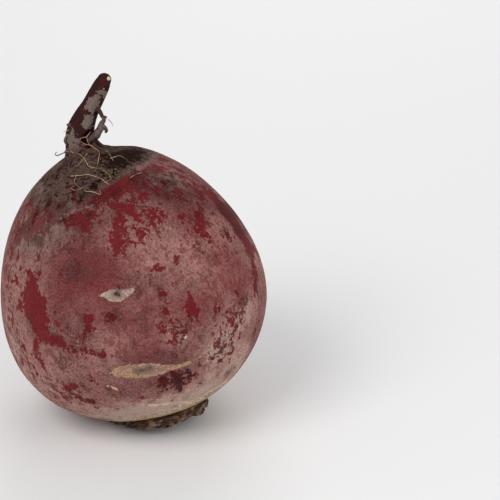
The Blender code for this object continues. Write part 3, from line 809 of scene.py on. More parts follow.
# Fine light and dark within a coat: weights and level
skinGrains = {
    "film": ({"smudge": 0.3, "fine": 0.5, "speck": 1.3}, 1.0),
    "scarSkin": ({"speck": 1.5, "fine": 1}, 1.05),
}

# Bumps, the broadest first: weights and height in millimetres
skinBumps = (
    ({"blotch": 1}, 0.5),
    ({"peeled": -1, "scarred": 0.5, "smallScarred": 0.6}, 0.10),
    ({"fine": 1, "ragged": 0.5}, 0.16),
    ({"speck": 1}, 0.10),
)

skinShine = {"level": 0.72, "weights": {"fine": 0.2, "peeled": -0.24, "necked": 0.15}, "specular": 0.03,
             "coat": 0.02, "coatRoughness": 0.38}


def skinMasksOf(sheet):
    # every field, noise and mask by its name
    ways = {"place": sheet.add("ShaderNodeTexCoord", None, None, "Object"),
            "grain": sheet.field("grain", "Vector")}
    found = {}
    for name, parts in skinFields.items():
        found.update(zip(parts, sheet.parts(sheet.field(name, "Vector"))))
    for name, (way, *settings) in skinNoises.items():
        found[name] = sheet.noise(ways[way], *settings) - 0.5
    for name, (weights, low, high) in skinMasks.items():
        found[name] = weighed(found, weights).rise(low, high)
    # painted shade of the neck's hollow, only by the neck, broken by pale flakes; bare skin keeps some film
    # at the neck and in dots
    found["hollowShaded"] = found["neckDark"] * (1 - found["flaky"] * 0.8) * found["byNeck"]
    peeled = found["peeledEdge"].higher(found["chipped"] * (1 - found["necked"] * 0.6))
    found["peeled"] = peeled * (1 - found["freckled"] * 0.5) * (0.93 + found["fine"] * 0.4)
    found["tailDusted"] = found["tailPatch"] * (0.85 + found["speck"] * 1.5)
    weights, low, high = skinRings
    found["yearRings"] = weighed(found, weights).sine().rise(low, high)
    return found


def makeSkinMaterial():
    material, sheet = newMaterial("beetSkin")
    masks = skinMasksOf(sheet)
    tone = {name: paint(*color) for name, color in skinPaint.items()}
    for name, (first, *layers) in skinCoats.items():
        color = tone[first]
        for over, strength, mask in layers:
            color = sheet.mix(masks[mask] * strength, color, tone[over])
        if name in skinGrains:
            weights, level = skinGrains[name]
            color = sheet.mix(1.0, color, weighed(masks, weights) + level, "MULTIPLY")
        tone[name] = color
    bumps = [(weighed(masks, weights), distance) for weights, distance in skinBumps]
    roughness = weighed(masks, skinShine["weights"]) + skinShine["level"]
    finishMaterial(sheet, {"Base Color": tone["skin"], "Roughness": roughness,
                           "Specular IOR Level": skinShine["specular"],
                           "Coat Weight": masks["peeled"] * skinShine["coat"],
                           "Coat Roughness": skinShine["coatRoughness"]}, bumps)
    return material


huskPaint = {"dark": (34, 22, 16), "brown": (96, 66, 49), "dry": (142, 112, 94), "ochre": (150, 108, 54)}


def makeHuskMaterial():
    # dried leaf stalks: dark brown, ribbed along the stalk, ochre at worn edges
    material, sheet = newMaterial("driedLeaf")
    tone = {name: paint(*color) for name, color in huskPaint.items()}
    place = sheet.add("ShaderNodeTexCoord", None, None, "Object")
    across, along, edge = sheet.parts(sheet.field("stalk", "Vector"))
    ribbed = sheet.add("ShaderNodeCombineXYZ", None, {0: across, 1: along * 0.12, 2: 0.0})
    ribs = sheet.noise(ribbed, 0.9, 4, 0.6)
    mottle = sheet.noise(place, 3, 4, 0.6)
    color = sheet.mix(ribs.rise(0.40, 0.60), tone["dark"], tone["brown"])
    color = sheet.mix((mottle + ribs * 0.5).rise(0.70, 0.90), color, tone["dry"])
    color = sheet.mix((edge + mottle * 1.5 + ribs - 1.25).rise(0.35, 0.75) * 0.8, color, tone["ochre"])
    roughness = 0.74 + mottle * 0.2
    bumps = ((mottle, 0.5), (ribs, 0.35))
    finishMaterial(sheet, {"Base Color": color, "Roughness": roughness, "Specular IOR Level": 0.3}, bumps)
    return material


def makeFibreMaterial(name, pale, dark, size=1.5, bareAbove=1000.0):
    # above this height in millimetres the dark colour alone is left
    material, sheet = newMaterial(name)
    place = sheet.add("ShaderNodeTexCoord", None, None, "Object")
    streak = sheet.noise(place, size, 4, 0.65)
    height = sheet.parts(place)[2] / mm + streak * 4
    shown = streak.rise(0.35, 0.65) * (1 - height.rise(bareAbove, bareAbove + 2))
    color = sheet.mix(shown, paint(*dark), paint(*pale))
    finishMaterial(sheet, {"Base Color": color, "Roughness": 0.7 + streak * 0.2}, ((streak, 0.15),))
    return material


# Geometry trees

def newTree(name, sizes):
    # sizes: the named inputs, each with its value
    tree = bpy.data.node_groups.new(name, "GeometryNodeTree")
    tree.interface.new_socket(name="Geometry", in_out="INPUT", socket_type="NodeSocketGeometry")
    tree.interface.new_socket(name="Geometry", in_out="OUTPUT", socket_type="NodeSocketGeometry")
    identifiers = {}
    for label, value in sizes.items():
        kind = "NodeSocketInt" if isinstance(value, int) else "NodeSocketFloat"
        socket = tree.interface.new_socket(name=label, in_out="INPUT", socket_type=kind)
        identifiers[label] = socket.identifier
    sheet = Sheet(tree)
    entry = sheet.add("NodeGroupInput", None, None, "Geometry")
    return tree, sheet, entry, identifiers


def closeTree(sheet, geometry, material):
    real = sheet.add("GeometryNodeRealizeInstances", None, {"Geometry": geometry})
    finished = sheet.add("GeometryNodeSetMaterial", None, {"Geometry": real, "Material": material})
    sheet.add("NodeGroupOutput", None, {"Geometry": finished})


def runTree(piece, tree, identifiers, sizes):
    # sets the inputs, evaluates the tree, and leaves its result as the piece's own mesh
    modifier = piece.modifiers.new(tree.name, "NODES")
    modifier.node_group = tree
    for label, value in sizes.items():
        modifier[identifiers[label]] = value
    bpy.context.view_layer.update()
    grown = bpy.data.meshes.new_from_object(piece.evaluated_get(bpy.context.evaluated_depsgraph_get()))
    piece.modifiers.clear()
    piece.data = grown
    grown.name = piece.name
    return piece


def link(thing):
    bpy.context.scene.collection.objects.link(thing)
    return thing


def newPiece(name, points, faces, edges=()):
    mesh = bpy.data.meshes.new(name)
    loops = [tuple(int(k) for k in face) for face in faces]
    mesh.from_pydata((np.asarray(points) * mm).tolist(), list(edges), loops)
    mesh.update()
    return link(bpy.data.objects.new(name, mesh))


def setField(mesh, name, values):
    values = np.asarray(values, float)
    kind = "FLOAT_VECTOR" if values.ndim == 2 else "FLOAT"
    attribute = mesh.attributes.new(name, kind, "POINT")
    attribute.data.foreach_set("vector" if values.ndim == 2 else "value", values.ravel())


def placesOf(mesh):
    places = np.zeros(len(mesh.vertices) * 3)
    mesh.vertices.foreach_get("co", places)
    return places.reshape(-1, 3)


skinRelief = {
    "Swell Height": 0.35, "Swell Size": 17.0,
    "Wrinkle Height": 0.16, "Wrinkle Size": 4.2,
    "Grain Height": 0.06, "Grain Size": 1.5,
    "Carve Scale": 1.0,
}


def reliefTree(material):
    # pushes the skin out and in: broad swells, small wrinkles along the root, and the carved marks
    tree, sheet, entry, identifiers = newTree("skinRelief", skinRelief)
    place = sheet.add("GeometryNodeInputPosition")
    normal = sheet.add("GeometryNodeInputNormal")
    grain = sheet.add("GeometryNodeInputNamedAttribute", {"data_type": "FLOAT_VECTOR"}, {"Name": "grain"})
    carve = sheet.add("GeometryNodeInputNamedAttribute", {"data_type": "FLOAT"}, {"Name": "carve"})

    def lumps(kind, vector, detail):
        scale = 1 / (entry.also(kind + " Size") * mm)
        noise = sheet.add("ShaderNodeTexNoise", None, {"Vector": vector, "Scale": scale, "Detail": detail})
        return (noise - 0.5) * entry.also(kind + " Height")

    push = lumps("Swell", place, 2.0) + lumps("Wrinkle", grain, 3.0) + lumps("Grain", grain, 2.0)
    push = (push - carve * entry.also("Carve Scale")) * mm
    offset = sheet.add("ShaderNodeVectorMath", {"operation": "SCALE"}, {0: normal, "Scale": push})
    moved = sheet.add("GeometryNodeSetPosition", None, {"Geometry": entry, "Offset": offset})
    closeTree(sheet, moved, material)
    return tree, identifiers


# How the marks are carved: where each starts, where it is full, and how deep it goes; less than zero
# stands out.
carving = (
    ("longScar", -0.6, 0.5, 0.22), ("longScar", 0.3, 1.5, -0.10), ("smallScar", -0.3, 0.3, -0.22),
    ("pits", -0.5, 0.4, 0.75), ("crease", -0.5, 0.2, 0.18), ("peel", -0.4, 0.4, 0.08),
    ("cream", -0.3, 0.3, -0.35),
)


def skinValues(points):
    # every marking's value at every point of the skin, and how deep the skin is carved there
    height = points[:, 2]
    values = {name: toneField(points, spots) for name, spots in tones.items()}
    values.update({name: strokeField(points, onSkin(strokes)) for name, strokes in scars.items()})
    values.update({name: strokeField(points, tailMarks[name]) for name in ("hole", "slit", "dusty", "pale")})
    start, end, amount = root["neckGrey"]
    values["neck"] += ease(height, start, end) * amount
    small = strokeField(points, onSkin([(fleck,) for fleck in flecks])) + root["fleckGrowth"]
    values["peel"] = np.maximum(strokeField(points, onSkin(peeledPatches.values())), small)
    values["cream"] = np.maximum(values["cream"], values["pale"])
    values["torn"] = np.maximum(values["hole"], values["slit"])
    values["tailDusty"] = values["dusty"]
    values["tailShare"] = ease(height, *tail["skinFrom"])
    fromCrown = np.linalg.norm(points - skinPlace(0, crown["plateauHeight"]) * (0, 0, 1), axis=1)
    heartTop = crown["plateauHeight"] - crown["heartStand"]
    heart = leanCrown(np.array([0, 0, heartTop]), np.array(heartTop))
    inHeart = np.clip(1 - np.linalg.norm(points - heart, axis=1) / crown["heartRadius"], 0, 1)
    values["cork"] = 1 - ease(fromCrown, *crown["corkReach"]) + inHeart    # past one only on the heart
    carve = sum(depth * ease(values[name], start, end) for name, start, end, depth in carving)
    for name in ("hole", "slit"):
        steepness, start, depth = tailMarks[name + "Relief"]
        carve += np.clip(values[name] * steepness + start, 0, depth)
    *pinch, reach, depth = tailMarks["pinch"]
    return values, carve + depth * np.exp(-((points - pinch)**2).sum(1) / reach**2)


def makeSkin(material):
    points, faces, turns, along = skinMesh()
    spread = np.hypot(points[:, 0], points[:, 1]) / root["radius"]
    broad = np.sqrt(np.clip(spread, root["grainPinch"], 1)) * root["radius"]
    grain = np.stack([broad * np.cos(turns), broad * np.sin(turns), along * root["grainStretch"]], -1)
    values, carve = skinValues(points)
    lying = points @ lieTurn.T
    low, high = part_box("beet_body")
    shift = np.array(low + high) / 2 / mm - (lying.max(0) + lying.min(0)) / 2
    shift[2] = high.z / mm - lying[:, 2].max()
    skin = newPiece("skin", lying + shift, faces)
    skin.data.shade_smooth()
    setField(skin.data, "grain", grain * mm)
    setField(skin.data, "carve", carve)
    for name, parts in skinFields.items():
        setField(skin.data, name, np.stack([values[part] for part in parts], -1))
    tree, identifiers = reliefTree(material)
    runTree(skin, tree, identifiers, skinRelief)
    layOnFloor(skin, root["squash"])
    return skin, shift


def layOnFloor(piece, squash):
    # what would sink below the floor is pressed together in a layer this thick
    places = placesOf(piece.data)
    heights, lowest = places[:, 2], min(places[:, 2].min(), 0)
    pressed = squash * mm * (heights - lowest) / (squash * mm - lowest)
    places[:, 2] = np.where(heights < squash * mm, pressed, heights)
    piece.data.vertices.foreach_set("co", places.ravel())
    piece.data.update()


def laid(points, shift):
    # from the root's own axes to where it lies
    return np.asarray(points) @ lieTurn.T + shift


# The dried leaf bases

leafBases = {
    "seed": 11,
    # how many in a row, distance of the foot, length, width, stand-off at the foot and at the tip
    "rows": ((9, 10.2, 5.7, 6.4, 1.1, 1.4), (8, 9.8, 4.8, 6.0, 1.3, 2.1), (7, 9.4, 3.2, 5.4, 1.3, 2.6)),
    "rowShift": 0.37,
    "scatter": 0.14,
    "jitter": 0.18,
    "swing": 0.30,
    "shear": 0.35,
    "roll": 0.16,
    "hang": 1.4,
    "shy": (-132, 28, 0.5),    # round this turn the stubs are shorter: turn, spread, share
    "alongSteps": 26,
    "acrossSteps": 18,
    "halfWidth": 0.64,
    "taper": (0.34, 2.2),
    "waist": (0.10, 9),
    "arch": 0.5,
    "thickness": 1.2,
    "edgeThickness": 0.15,
    "cupping": 0.7,
    "ribs": 0.22,
    "ribWaves": (13, 2, 5),
    "tear": 0.45,
    "tearWaves": ((7, 1.0), (17, 0.6), (31, 0.4)),
    "worn": (0.3, 0.35),       # at the sides and at the tip
    "squash": 0.9,
    # the ring that the stubs grow from: radius and stand-off round its section
    "ring": ((8.3, 0.3), (14.2, 0.3), (14.8, 1.2), (13.2, 2.1), (10.8, 2.5), (8.3, 2.4)),
    "ringSteps": 220,
    "ringLobes": (0.035, 9, 2),
    "ringRuffle": (0.012, 47),
    "ringRibs": (0.2, 31),
    "ringWorn": 0.2,
}

leafWraps = {
    # from one turn to another (degrees), distance from the axis, stand-off at the top and bottom edge, flare
    "wraps": (
        (-148, -62, 14.6, 0.2, 3.0, 0.5), (-112, -22, 15.4, 0.3, 4.0, 0.2), (-86, 14, 14.9, 1.0, 4.3, -0.3),
        (-128, -70, 15.2, 1.6, 4.2, -0.4), (-60, 18, 15.9, 0.2, 2.6, 0.4), (-170, -118, 15.3, 0.2, 1.3, 0.2),
        (-96, -40, 13.6, 2.2, 4.9, -0.6), (0, 62, 14.6, 0.3, 3.2, 0.2), (40, 96, 14.2, 0.2, 2.2, 0.3),
        (-40, 30, 13.4, 1.6, 4.4, -0.4), (165, 205, 14.4, 0.2, 1.5, 0.2),
    ),
    "step": 0.32,
    "acrossSteps": 20,
    "slant": 1.6,
    "taper": 0.45,
    "ragged": 0.05,
    "raggedWaves": (5, 11, 23),
    "wander": (0.22, 0.35, 0, 3),
    "waver": (0.12, 0.8, 1, 4),
    "folds": ((0.34, 0.55, 3.0, 5), (0.17, 1.3, -5.0, 6)),    # depth, waves along and across, phase
    "ribs": (0.10, 15, 1.5),
    "bulge": 0.35,
    "thickness": 0.75,
    "edgeThickness": 0.2,
    "endThickness": 0.3,
    "worn": 0.9,
}


def leafStub(draw, rough, heading, foot, length, width, standFoot, standTip):
    # a cupped, ribbed strap that lies outward from the heart and ends torn
    leaf = leafBases

    def varied(value):
        return value * (1 + draw.uniform(-leaf["jitter"], leaf["jitter"]))

    length, width, standTip = varied(length), varied(width), varied(standTip)
    freeSide = math.radians(root["heading"]) - math.pi
    standTip += leaf["hang"] * (1 + math.cos(heading - freeSide)) / 2
    shyTurn, shySpread, shyShare = leaf["shy"]
    shyness = shyShare * math.exp(-(math.remainder(math.degrees(heading) - shyTurn, 360) / shySpread)**2)
    length *= 1 - shyness
    standTip *= 1 - shyness
    swing, shear, roll = (draw.uniform(-leaf[name], leaf[name]) for name in ("swing", "shear", "roll"))
    outward = np.array([math.cos(heading + swing), math.sin(heading + swing), 0])
    sideways = np.array([-outward[1], outward[0], 0])
    start = np.array([math.cos(heading), math.sin(heading), 0]) * foot
    phases = [rough.uniform(0, math.tau) for _ in range(6)]
    share = np.linspace(0, 1, leaf["alongSteps"] + 1)[:, None]
    across = np.linspace(-1, 1, leaf["acrossSteps"] + 1)[None, :]
    tear = sum(size * np.sin(waves * across + phase) for (waves, size),
               phase in zip(leaf["tearWaves"], phases))
    reach = length * share * (1 + shear * across * share) + leaf["tear"] * tear * share**4
    narrowing, late = leaf["taper"]
    waist, waistWaves = leaf["waist"]
    half = width * leaf["halfWidth"] * (1 - narrowing * share**late)
    half = half * (1 + waist * np.sin(waistWaves * share + phases[3]))
    stand = standFoot + (standTip - standFoot) * ease(share, 0, 1) - leaf["arch"] * np.sin(math.pi * share)
    ribs, twist, breaks = leaf["ribWaves"]
    rib = np.sin(ribs * across + phases[4] + twist * share)
    rib = rib * np.sin(breaks * share + phases[5]) * leaf["ribs"]
    middle = stand + roll * half * across
    inner = middle - leaf["cupping"] * (1 - across**2)
    rounded = leaf["edgeThickness"] + (1 - leaf["edgeThickness"]) * np.sqrt(1 - across**2 * 0.97)
    outer = middle + leaf["thickness"] * rounded + rib
    sheets = []
    for stands in (inner, outer):
        flat = start + outward * reach[..., None] + sideways * (half * across)[..., None]
        flat[..., 2] = crown["plateauHeight"] - stands
        sheets.append(flat)
    wornSides, wornTip = leaf["worn"]
    edge = np.maximum(np.abs(across)**4 * wornSides, share**5 * wornTip)
    marks = np.stack([half * across, length * share + 0 * across, edge], -1)
    return closedShell(*sheets, marks)


def leafWrap(rough, startTurn, endTurn, radius, top, bottom, flare):
    # a crumpled leaf base that lies along the crown's edge, ribbed along its length, with ragged ends
    leaf = leafWraps
    length = math.radians(endTurn - startTurn) * radius
    share = np.linspace(0, 1, round(length / leaf["step"]) + 1)[:, None]
    across = np.linspace(-1, 1, leaf["acrossSteps"] + 1)[None, :]
    along = share * length
    phases = [rough.uniform(0, math.tau) for _ in range(9)]

    def wave(size, lengthways, crossways, k):
        bend = np.sin(0.9 * along + phases[k + 1])
        return size * np.sin(lengthways * along + crossways * across + phases[k] + bend)

    ends = sum(np.sin(waves * across + phases[k]) for k, waves in enumerate(leaf["raggedWaves"]))
    turn = share + leaf["ragged"] * ends * (2 * share - 1)**3
    turn = np.radians(startTurn + (endTurn - startTurn) * turn) + leaf["slant"] * across / radius
    taper = np.clip(4 * share * (1 - share), 0, 1)**leaf["taper"]
    middle = (top + bottom) / 2 + wave(*leaf["wander"])
    stand = middle + (bottom - top) / 2 * across * taper * (1 + wave(*leaf["waver"]))
    folds = sum(wave(*fold) for fold in leaf["folds"])
    ribHeight, ribs, ribDrift = leaf["ribs"]
    rib = ribHeight * np.sin(ribs * across + ribDrift * np.sin(0.5 * along + phases[7]) + phases[0])
    reach = radius + flare * across + leaf["bulge"] * (1 - across**2) + folds * taper + rib
    rounded = leaf["edgeThickness"] + (1 - leaf["edgeThickness"]) * np.sqrt(1 - across**2 * 0.98)
    thickness = leaf["thickness"] * rounded * (leaf["endThickness"] + (1 - leaf["endThickness"]) * taper)
    height = crown["plateauHeight"] - stand
    sheets = [np.stack([far * np.cos(turn), far * np.sin(turn), height + 0 * far], -1)
              for far in (reach, reach + thickness)]
    edge = np.clip(-across, 0, 1)**3 * leaf["worn"] + 0 * share
    return closedShell(*sheets, np.stack([stand + 0 * reach, along + 0 * reach, edge], -1))


def closedShell(inner, outer, marks):
    # two sheets of points, closed into one skin along their edges
    rows, columns = inner.shape[:2]
    size = rows * columns
    faces = []
    for row in range(rows - 1):
        for column in range(columns - 1):
            corner = row * columns + column
            loop = (corner, corner + 1, corner + 1 + columns, corner + columns)
            faces.append(loop)
            faces.append(tuple(size + k for k in reversed(loop)))
    rim = list(range(columns))
    rim += [row * columns + columns - 1 for row in range(1, rows)]
    rim += [(rows - 1) * columns + column for column in range(columns - 2, -1, -1)]
    rim += [row * columns for row in range(rows - 2, 0, -1)]
    for here, there in zip(rim, rim[1:] + rim[:1]):
        faces.append((there, here, size + here, size + there))
    marks = marks.reshape(-1, 3)
    return np.concatenate([inner.reshape(-1, 3), outer.reshape(-1, 3)]), faces, np.concatenate([marks,
                                                                                                marks])


def leafRing():
    # the ring that the stubs grow from
    section, count = leafBases["ring"], leafBases["ringSteps"]
    sides = len(section)
    turns = np.arange(count) * math.tau / count
    lobe, lobes, drift = leafBases["ringLobes"]
    ruffle, ruffles = leafBases["ringRuffle"]
    rib, ribs = leafBases["ringRibs"]
    swell = 1 + lobe * np.cos(lobes * turns) * np.cos(drift * turns + 1) + ruffle * np.sin(ruffles * turns)
    points, marks = [], []
    for k, (radius, stand) in enumerate(section):
        reach = radius * swell if k not in (0, sides - 1) else np.full(count, radius)
        height = np.full(count, crown["plateauHeight"] - stand)
        if 1 < k < sides - 1:
            height = height - rib * np.sin(ribs * turns + k)
        points.append(np.stack([reach * np.cos(turns), reach * np.sin(turns), height], -1))
        marks.append(np.stack([reach * turns, np.full(count, float(k)),
                               np.full(count, leafBases["ringWorn"])], -1))
    faces = []
    for side in range(sides):
        other = (side + 1) % sides
        for k in range(count):
            n = (k + 1) % count
            faces.append((other * count + k, other * count + n, side * count + n, side * count + k))
    return np.concatenate(points), faces, np.concatenate(marks)


def makeLeafBases(material, shift):
    draw, rough = random.Random(leafBases["seed"]), random.Random(leafBases["seed"] + 1)
    shapes = [leafRing()]
    scatter = leafBases["scatter"]
    for row, (count, *sizes) in enumerate(leafBases["rows"]):
        for k in range(count):
            heading = math.tau * (k + leafBases["rowShift"] * row) / count + draw.uniform(-scatter, scatter)
            shapes.append(leafStub(draw, rough, heading, *sizes))
    shapes += [leafWrap(rough, *wrap) for wrap in leafWraps["wraps"]]
    points, faces, marks = [], [], []
    offset = 0
    for shapePoints, shapeFaces, shapeMarks in shapes:
        points.append(shapePoints)
        marks.append(shapeMarks)
        faces += [tuple(offset + k for k in face) for face in shapeFaces]
        offset += len(shapePoints)
    points = leanCrown(np.concatenate(points), np.array(crown["plateauHeight"]))
    bases = newPiece("leafBases", laid(points, shift), faces)
    builder = bmesh.new()
    builder.from_mesh(bases.data)
    bmesh.ops.recalc_face_normals(builder, faces=builder.faces)
    builder.to_mesh(bases.data)
    builder.free()
    bases.data.shade_smooth()
    bases.data.materials.append(material)
    setField(bases.data, "stalk", np.concatenate(marks) * (mm, mm, 1))
    layOnFloor(bases, leafBases["squash"])
    return bases


# Rootlets and the side root: tubes along paths

sideRoot = {
    "path": ((7.0, 0.4, 67.2, 0.9), (9.1, -1.2, 65.9, 0.80), (9.8, -2.4, 63.8, 0.70),
             (10.1, -2.8, 61.9, 0.70), (8.9, -2.9, 60.2, 1.0), (7.6, -2.8, 58.8, 1.25),
             (5.6, -2.0, 57.2, 1.4), (2.0, -0.6, 55.8, 1.2)),
    "torn": ((8.6, -2.9, 60.4, 0.6), (9.5, -3.1, 59.4, 0.75), (9.9, -3.2, 58.0, 0.6),
             (9.3, -3.2, 57.2, 0.3)),
    "knob": ((10.0, -2.8, 62.4, 0.3), (10.9, -2.9, 62.5, 0.45), (11.4, -3.0, 61.9, 0.2)),
    "Sides": 12, "Step": 0.25, "Lump Height": 1.1, "Lump Size": 1.2,
}

# Each path: thickness, then x, y and height from the root's axis. A fourth number stands the point that far
# off the skin; without it the point hangs free.
rootlets = {
    "paths": (
        (0.16, (-3.4, -4.2, 55.8, 0.3), (-3.1, -5.8, 54.8, 0.3), (-0.9, -7.4, 53.6, 0.4),
         (1.2, -12.9, 51.5, 0.5), (2.7, -17.5, 49.1, 0.3), (6.8, -20.1, 46.8, 0.5),
         (8.9, -23.3, 43.7, 0.4), (6.5, -24.6, 43.3, 0.2)),
        (0.20, (4.9, -4.5, 59.3), (3.2, -5.6, 58.3), (1.3, -6.2, 58.4), (0.9, -6.5, 57.5),
         (2.3, -6.9, 56.0), (3.7, -6.9, 55.2), (4.8, -6.9, 53.8), (5.2, -8.0, 51.9, 0.9),
         (6.0, -12.0, 50.4, 1.0), (5.3, -17.0, 48.8, 0.3)),
        (0.16, (3.2, -5.6, 58.2), (3.2, -6.4, 56.5), (3.7, -6.8, 55.2)),
        (0.17, (-3.9, -18.8, 48.2, 0.2), (-1.0, -20.4, 47.4, 0.5), (2.0, -21.3, 46.7, 0.7),
         (5.7, -23.5, 44.4, 0.7), (8.0, -25.4, 42.2, 0.2)),
        (0.14, (-4.6, -23.3, 44.9, 0.2), (-3.1, -25.1, 43.6, 0.6), (-0.6, -25.0, 43.9, 0.3)),
        (0.14, (-0.1, -26.1, 42.8, 0.2), (3.0, -27.5, 41.3, 0.4), (4.8, -28.3, 40.2, 0.5),
         (4.4, -25.8, 42.8, 0.2)),
        (0.13, (14.8, -22.2, 42.0, 0.2), (16.8, -20.6, 42.3, 0.4), (18.7, -19.0, 42.1, 0.2)),
        (0.13, (7.6, -5.7, 51.7, 0.3), (9.0, -10.0, 50.5, 0.5), (10.4, -15.4, 48.5, 0.2)),
        (0.12, (2.0, -9.0, 52.5, 0.2), (0.5, -13.0, 51.0, 0.5), (-1.5, -15.5, 49.8, 0.2)),
        (0.12, (9.5, -14.0, 49.3, 0.1), (12.5, -13.0, 48.6, 0.6), (15.0, -14.5, 46.9, 0.1)),
        (0.11, (-2.0, -19.0, 48.0, 0.1), (-3.0, -22.0, 46.0, 0.4), (-1.5, -24.5, 44.5, 0.1)),
        (0.12, (11.6, -3.0, 61.5), (12.3, -3.0, 60.2), (12.5, -3.0, 58.7)),
        (0.13, (-2.0, -2.0, 61.9), (-3.6, -2.5, 62.0), (-4.2, -3.0, 61.6)),
        (0.24, (-4.2, -4.0, 55.2), (-5.2, -4.1, 55.4), (-6.7, -4.5, 55.3), (-8.2, -4.5, 55.2),
         (-8.9, -4.5, 55.6), (-8.7, -4.5, 56.2), (-8.0, -4.5, 56.2)),
        (0.13, (-6.0, 8.0, 53.5, 0.1), (-8.0, 12.0, 51.5, 0.6), (-11.0, 14.0, 49.5, 0.1)),
        (0.13, (4.0, 8.0, 53.5, 0.1), (7.0, 12.0, 51.0, 0.6), (6.0, 17.0, 48.5, 0.1)),
    ),
    "taper": 0.5,
    "Sides": 6, "Step": 0.3, "Lump Height": 0.45, "Lump Size": 2.2,
}

# Short stubs of broken roots on the left of the tail: x, y, height and thickness
stubs = {
    "paths": (
        ((-1.0, -1.5, 63.2, 0.6), (-2.0, -1.9, 63.8, 0.45), (-2.6, -2.0, 63.8, 0.25)),
        ((-2.6, -1.8, 60.6, 0.6), (-4.1, -2.5, 59.8, 0.5), (-4.7, -2.5, 58.5, 0.45),
         (-4.0, -2.5, 57.0, 0.5)),
        ((-4.4, -3.2, 56.0, 0.6), (-5.4, -4.0, 55.4, 0.45), (-6.3, -4.3, 55.3, 0.2)),
        ((4.6, -3.6, 60.3, 0.5), (5.8, -3.2, 60.9, 0.35), (6.5, -3.3, 60.5, 0.2)),
        ((2.0, 3.5, 60.0, 0.6), (2.6, 5.2, 60.4, 0.35), (2.4, 6.0, 59.8, 0.2)),
    ),
    "Sides": 8, "Step": 0.25, "Lump Height": 0.5, "Lump Size": 1.0,
}


def pathTree(name, material, sizes):
    # a tube along every path: its thickness is the point's own, its course is nudged by noise
    tree, sheet, entry, identifiers = newTree(name, sizes)
    thick = sheet.add("GeometryNodeInputNamedAttribute", {"data_type": "FLOAT"}, {"Name": "thick"})
    curve = sheet.add("GeometryNodeMeshToCurve", None, {"Mesh": entry})
    curve = sheet.add("GeometryNodeCurveSplineType", {"spline_type": "CATMULL_ROM"}, {"Curve": curve})
    step = {"Curve": curve, "Length": entry.also("Step") * mm}
    curve = sheet.add("GeometryNodeResampleCurve", {"mode": "LENGTH"}, step)
    place = sheet.add("GeometryNodeInputPosition")
    scale = 1 / (entry.also("Lump Size") * mm)
    wander = sheet.nudge(place, scale, entry.also("Lump Height") * mm)
    curve = sheet.add("GeometryNodeSetPosition", None, {"Geometry": curve, "Offset": wander})
    circle = {"Resolution": entry.also("Sides"), "Radius": 1.0}
    ring = sheet.add("GeometryNodeCurvePrimitiveCircle", None, circle)
    tube = sheet.add("GeometryNodeCurveToMesh", None,
                     {"Curve": curve, "Profile Curve": ring, "Scale": thick * mm, "Fill Caps": True})
    tube = sheet.add("GeometryNodeSetShadeSmooth", None, {"Geometry": tube})
    closeTree(sheet, tube, material)
    return tree, identifiers


def makeTubes(name, material, paths, sizes):
    # paths: lists of x, y, z and thickness in millimetres, where the beetroot lies
    points = [point[:3] for path in paths for point in path]
    thick = [point[3] for path in paths for point in path]
    edges = []
    offset = 0
    for path in paths:
        edges += [(offset + k, offset + k + 1) for k in range(len(path) - 1)]
        offset += len(path)
    tubes = newPiece(name, points, [], edges)
    setField(tubes.data, "thick", thick)
    tree, identifiers = pathTree(name, material, sizes)
    return runTree(tubes, tree, identifiers, sizes)


def sizesOf(piece):
    return {label: value for label, value in piece.items() if label[0].isupper()}


def laidPath(path, shift):
    # x, y, height and thickness from the root's own axes to where it lies
    return [(*laid(point[:3], shift), point[3]) for point in path]


def makeSideRoot(material, shift):
    paths = [laidPath(sideRoot[name], shift) for name in ("path", "torn", "knob")]
    return makeTubes("sideRoot", material, paths, sizesOf(sideRoot))


def makeRootlets(material, skin, shift):
    nearest = BVHTree.FromObject(skin, bpy.context.evaluated_depsgraph_get())
    paths = []
    for thickness, *path in rootlets["paths"]:
        line = []
        for k, (x, y, height, *lift) in enumerate(path):
            place = Vector(laid((x, y, height), shift))
            if lift:
                ground, normal, _, _ = nearest.find_nearest(place * mm)
                place = ground / mm + normal * lift[0]
            taper = 1 - rootlets["taper"] * k / (len(path) - 1)
            line.append((*place, thickness * taper))
        paths.append(line)
    return makeTubes("rootlets", material, paths, sizesOf(rootlets))


def makeStubs(material, shift):
    paths = [laidPath(path, shift) for path in stubs["paths"]]
    return makeTubes("brokenRoots", material, paths, sizesOf(stubs))


# Crumbs of dry soil caught in the neck's hollow

crumbs = {
    "middles": ((1.6, -13.0, 51.3), (3.1, -17.6, 49.0), (5.9, -20.0, 47.1), (8.9, -21.0, 45.5),
                (12.0, -20.8, 44.5),
                (14.6, -19.0, 44.6), (8.0, -23.2, 43.9)),
    "reach": 3.0,
    "shape": ((0.3, 0.3, 0.3), (1.0, 1.5, 1.0)),    # the least and the most of each crumb's three sizes
    "lumpiness": 2.5,
    "Count Per Square": 1.5, "Size": 1.05, "Seed": 4,
}


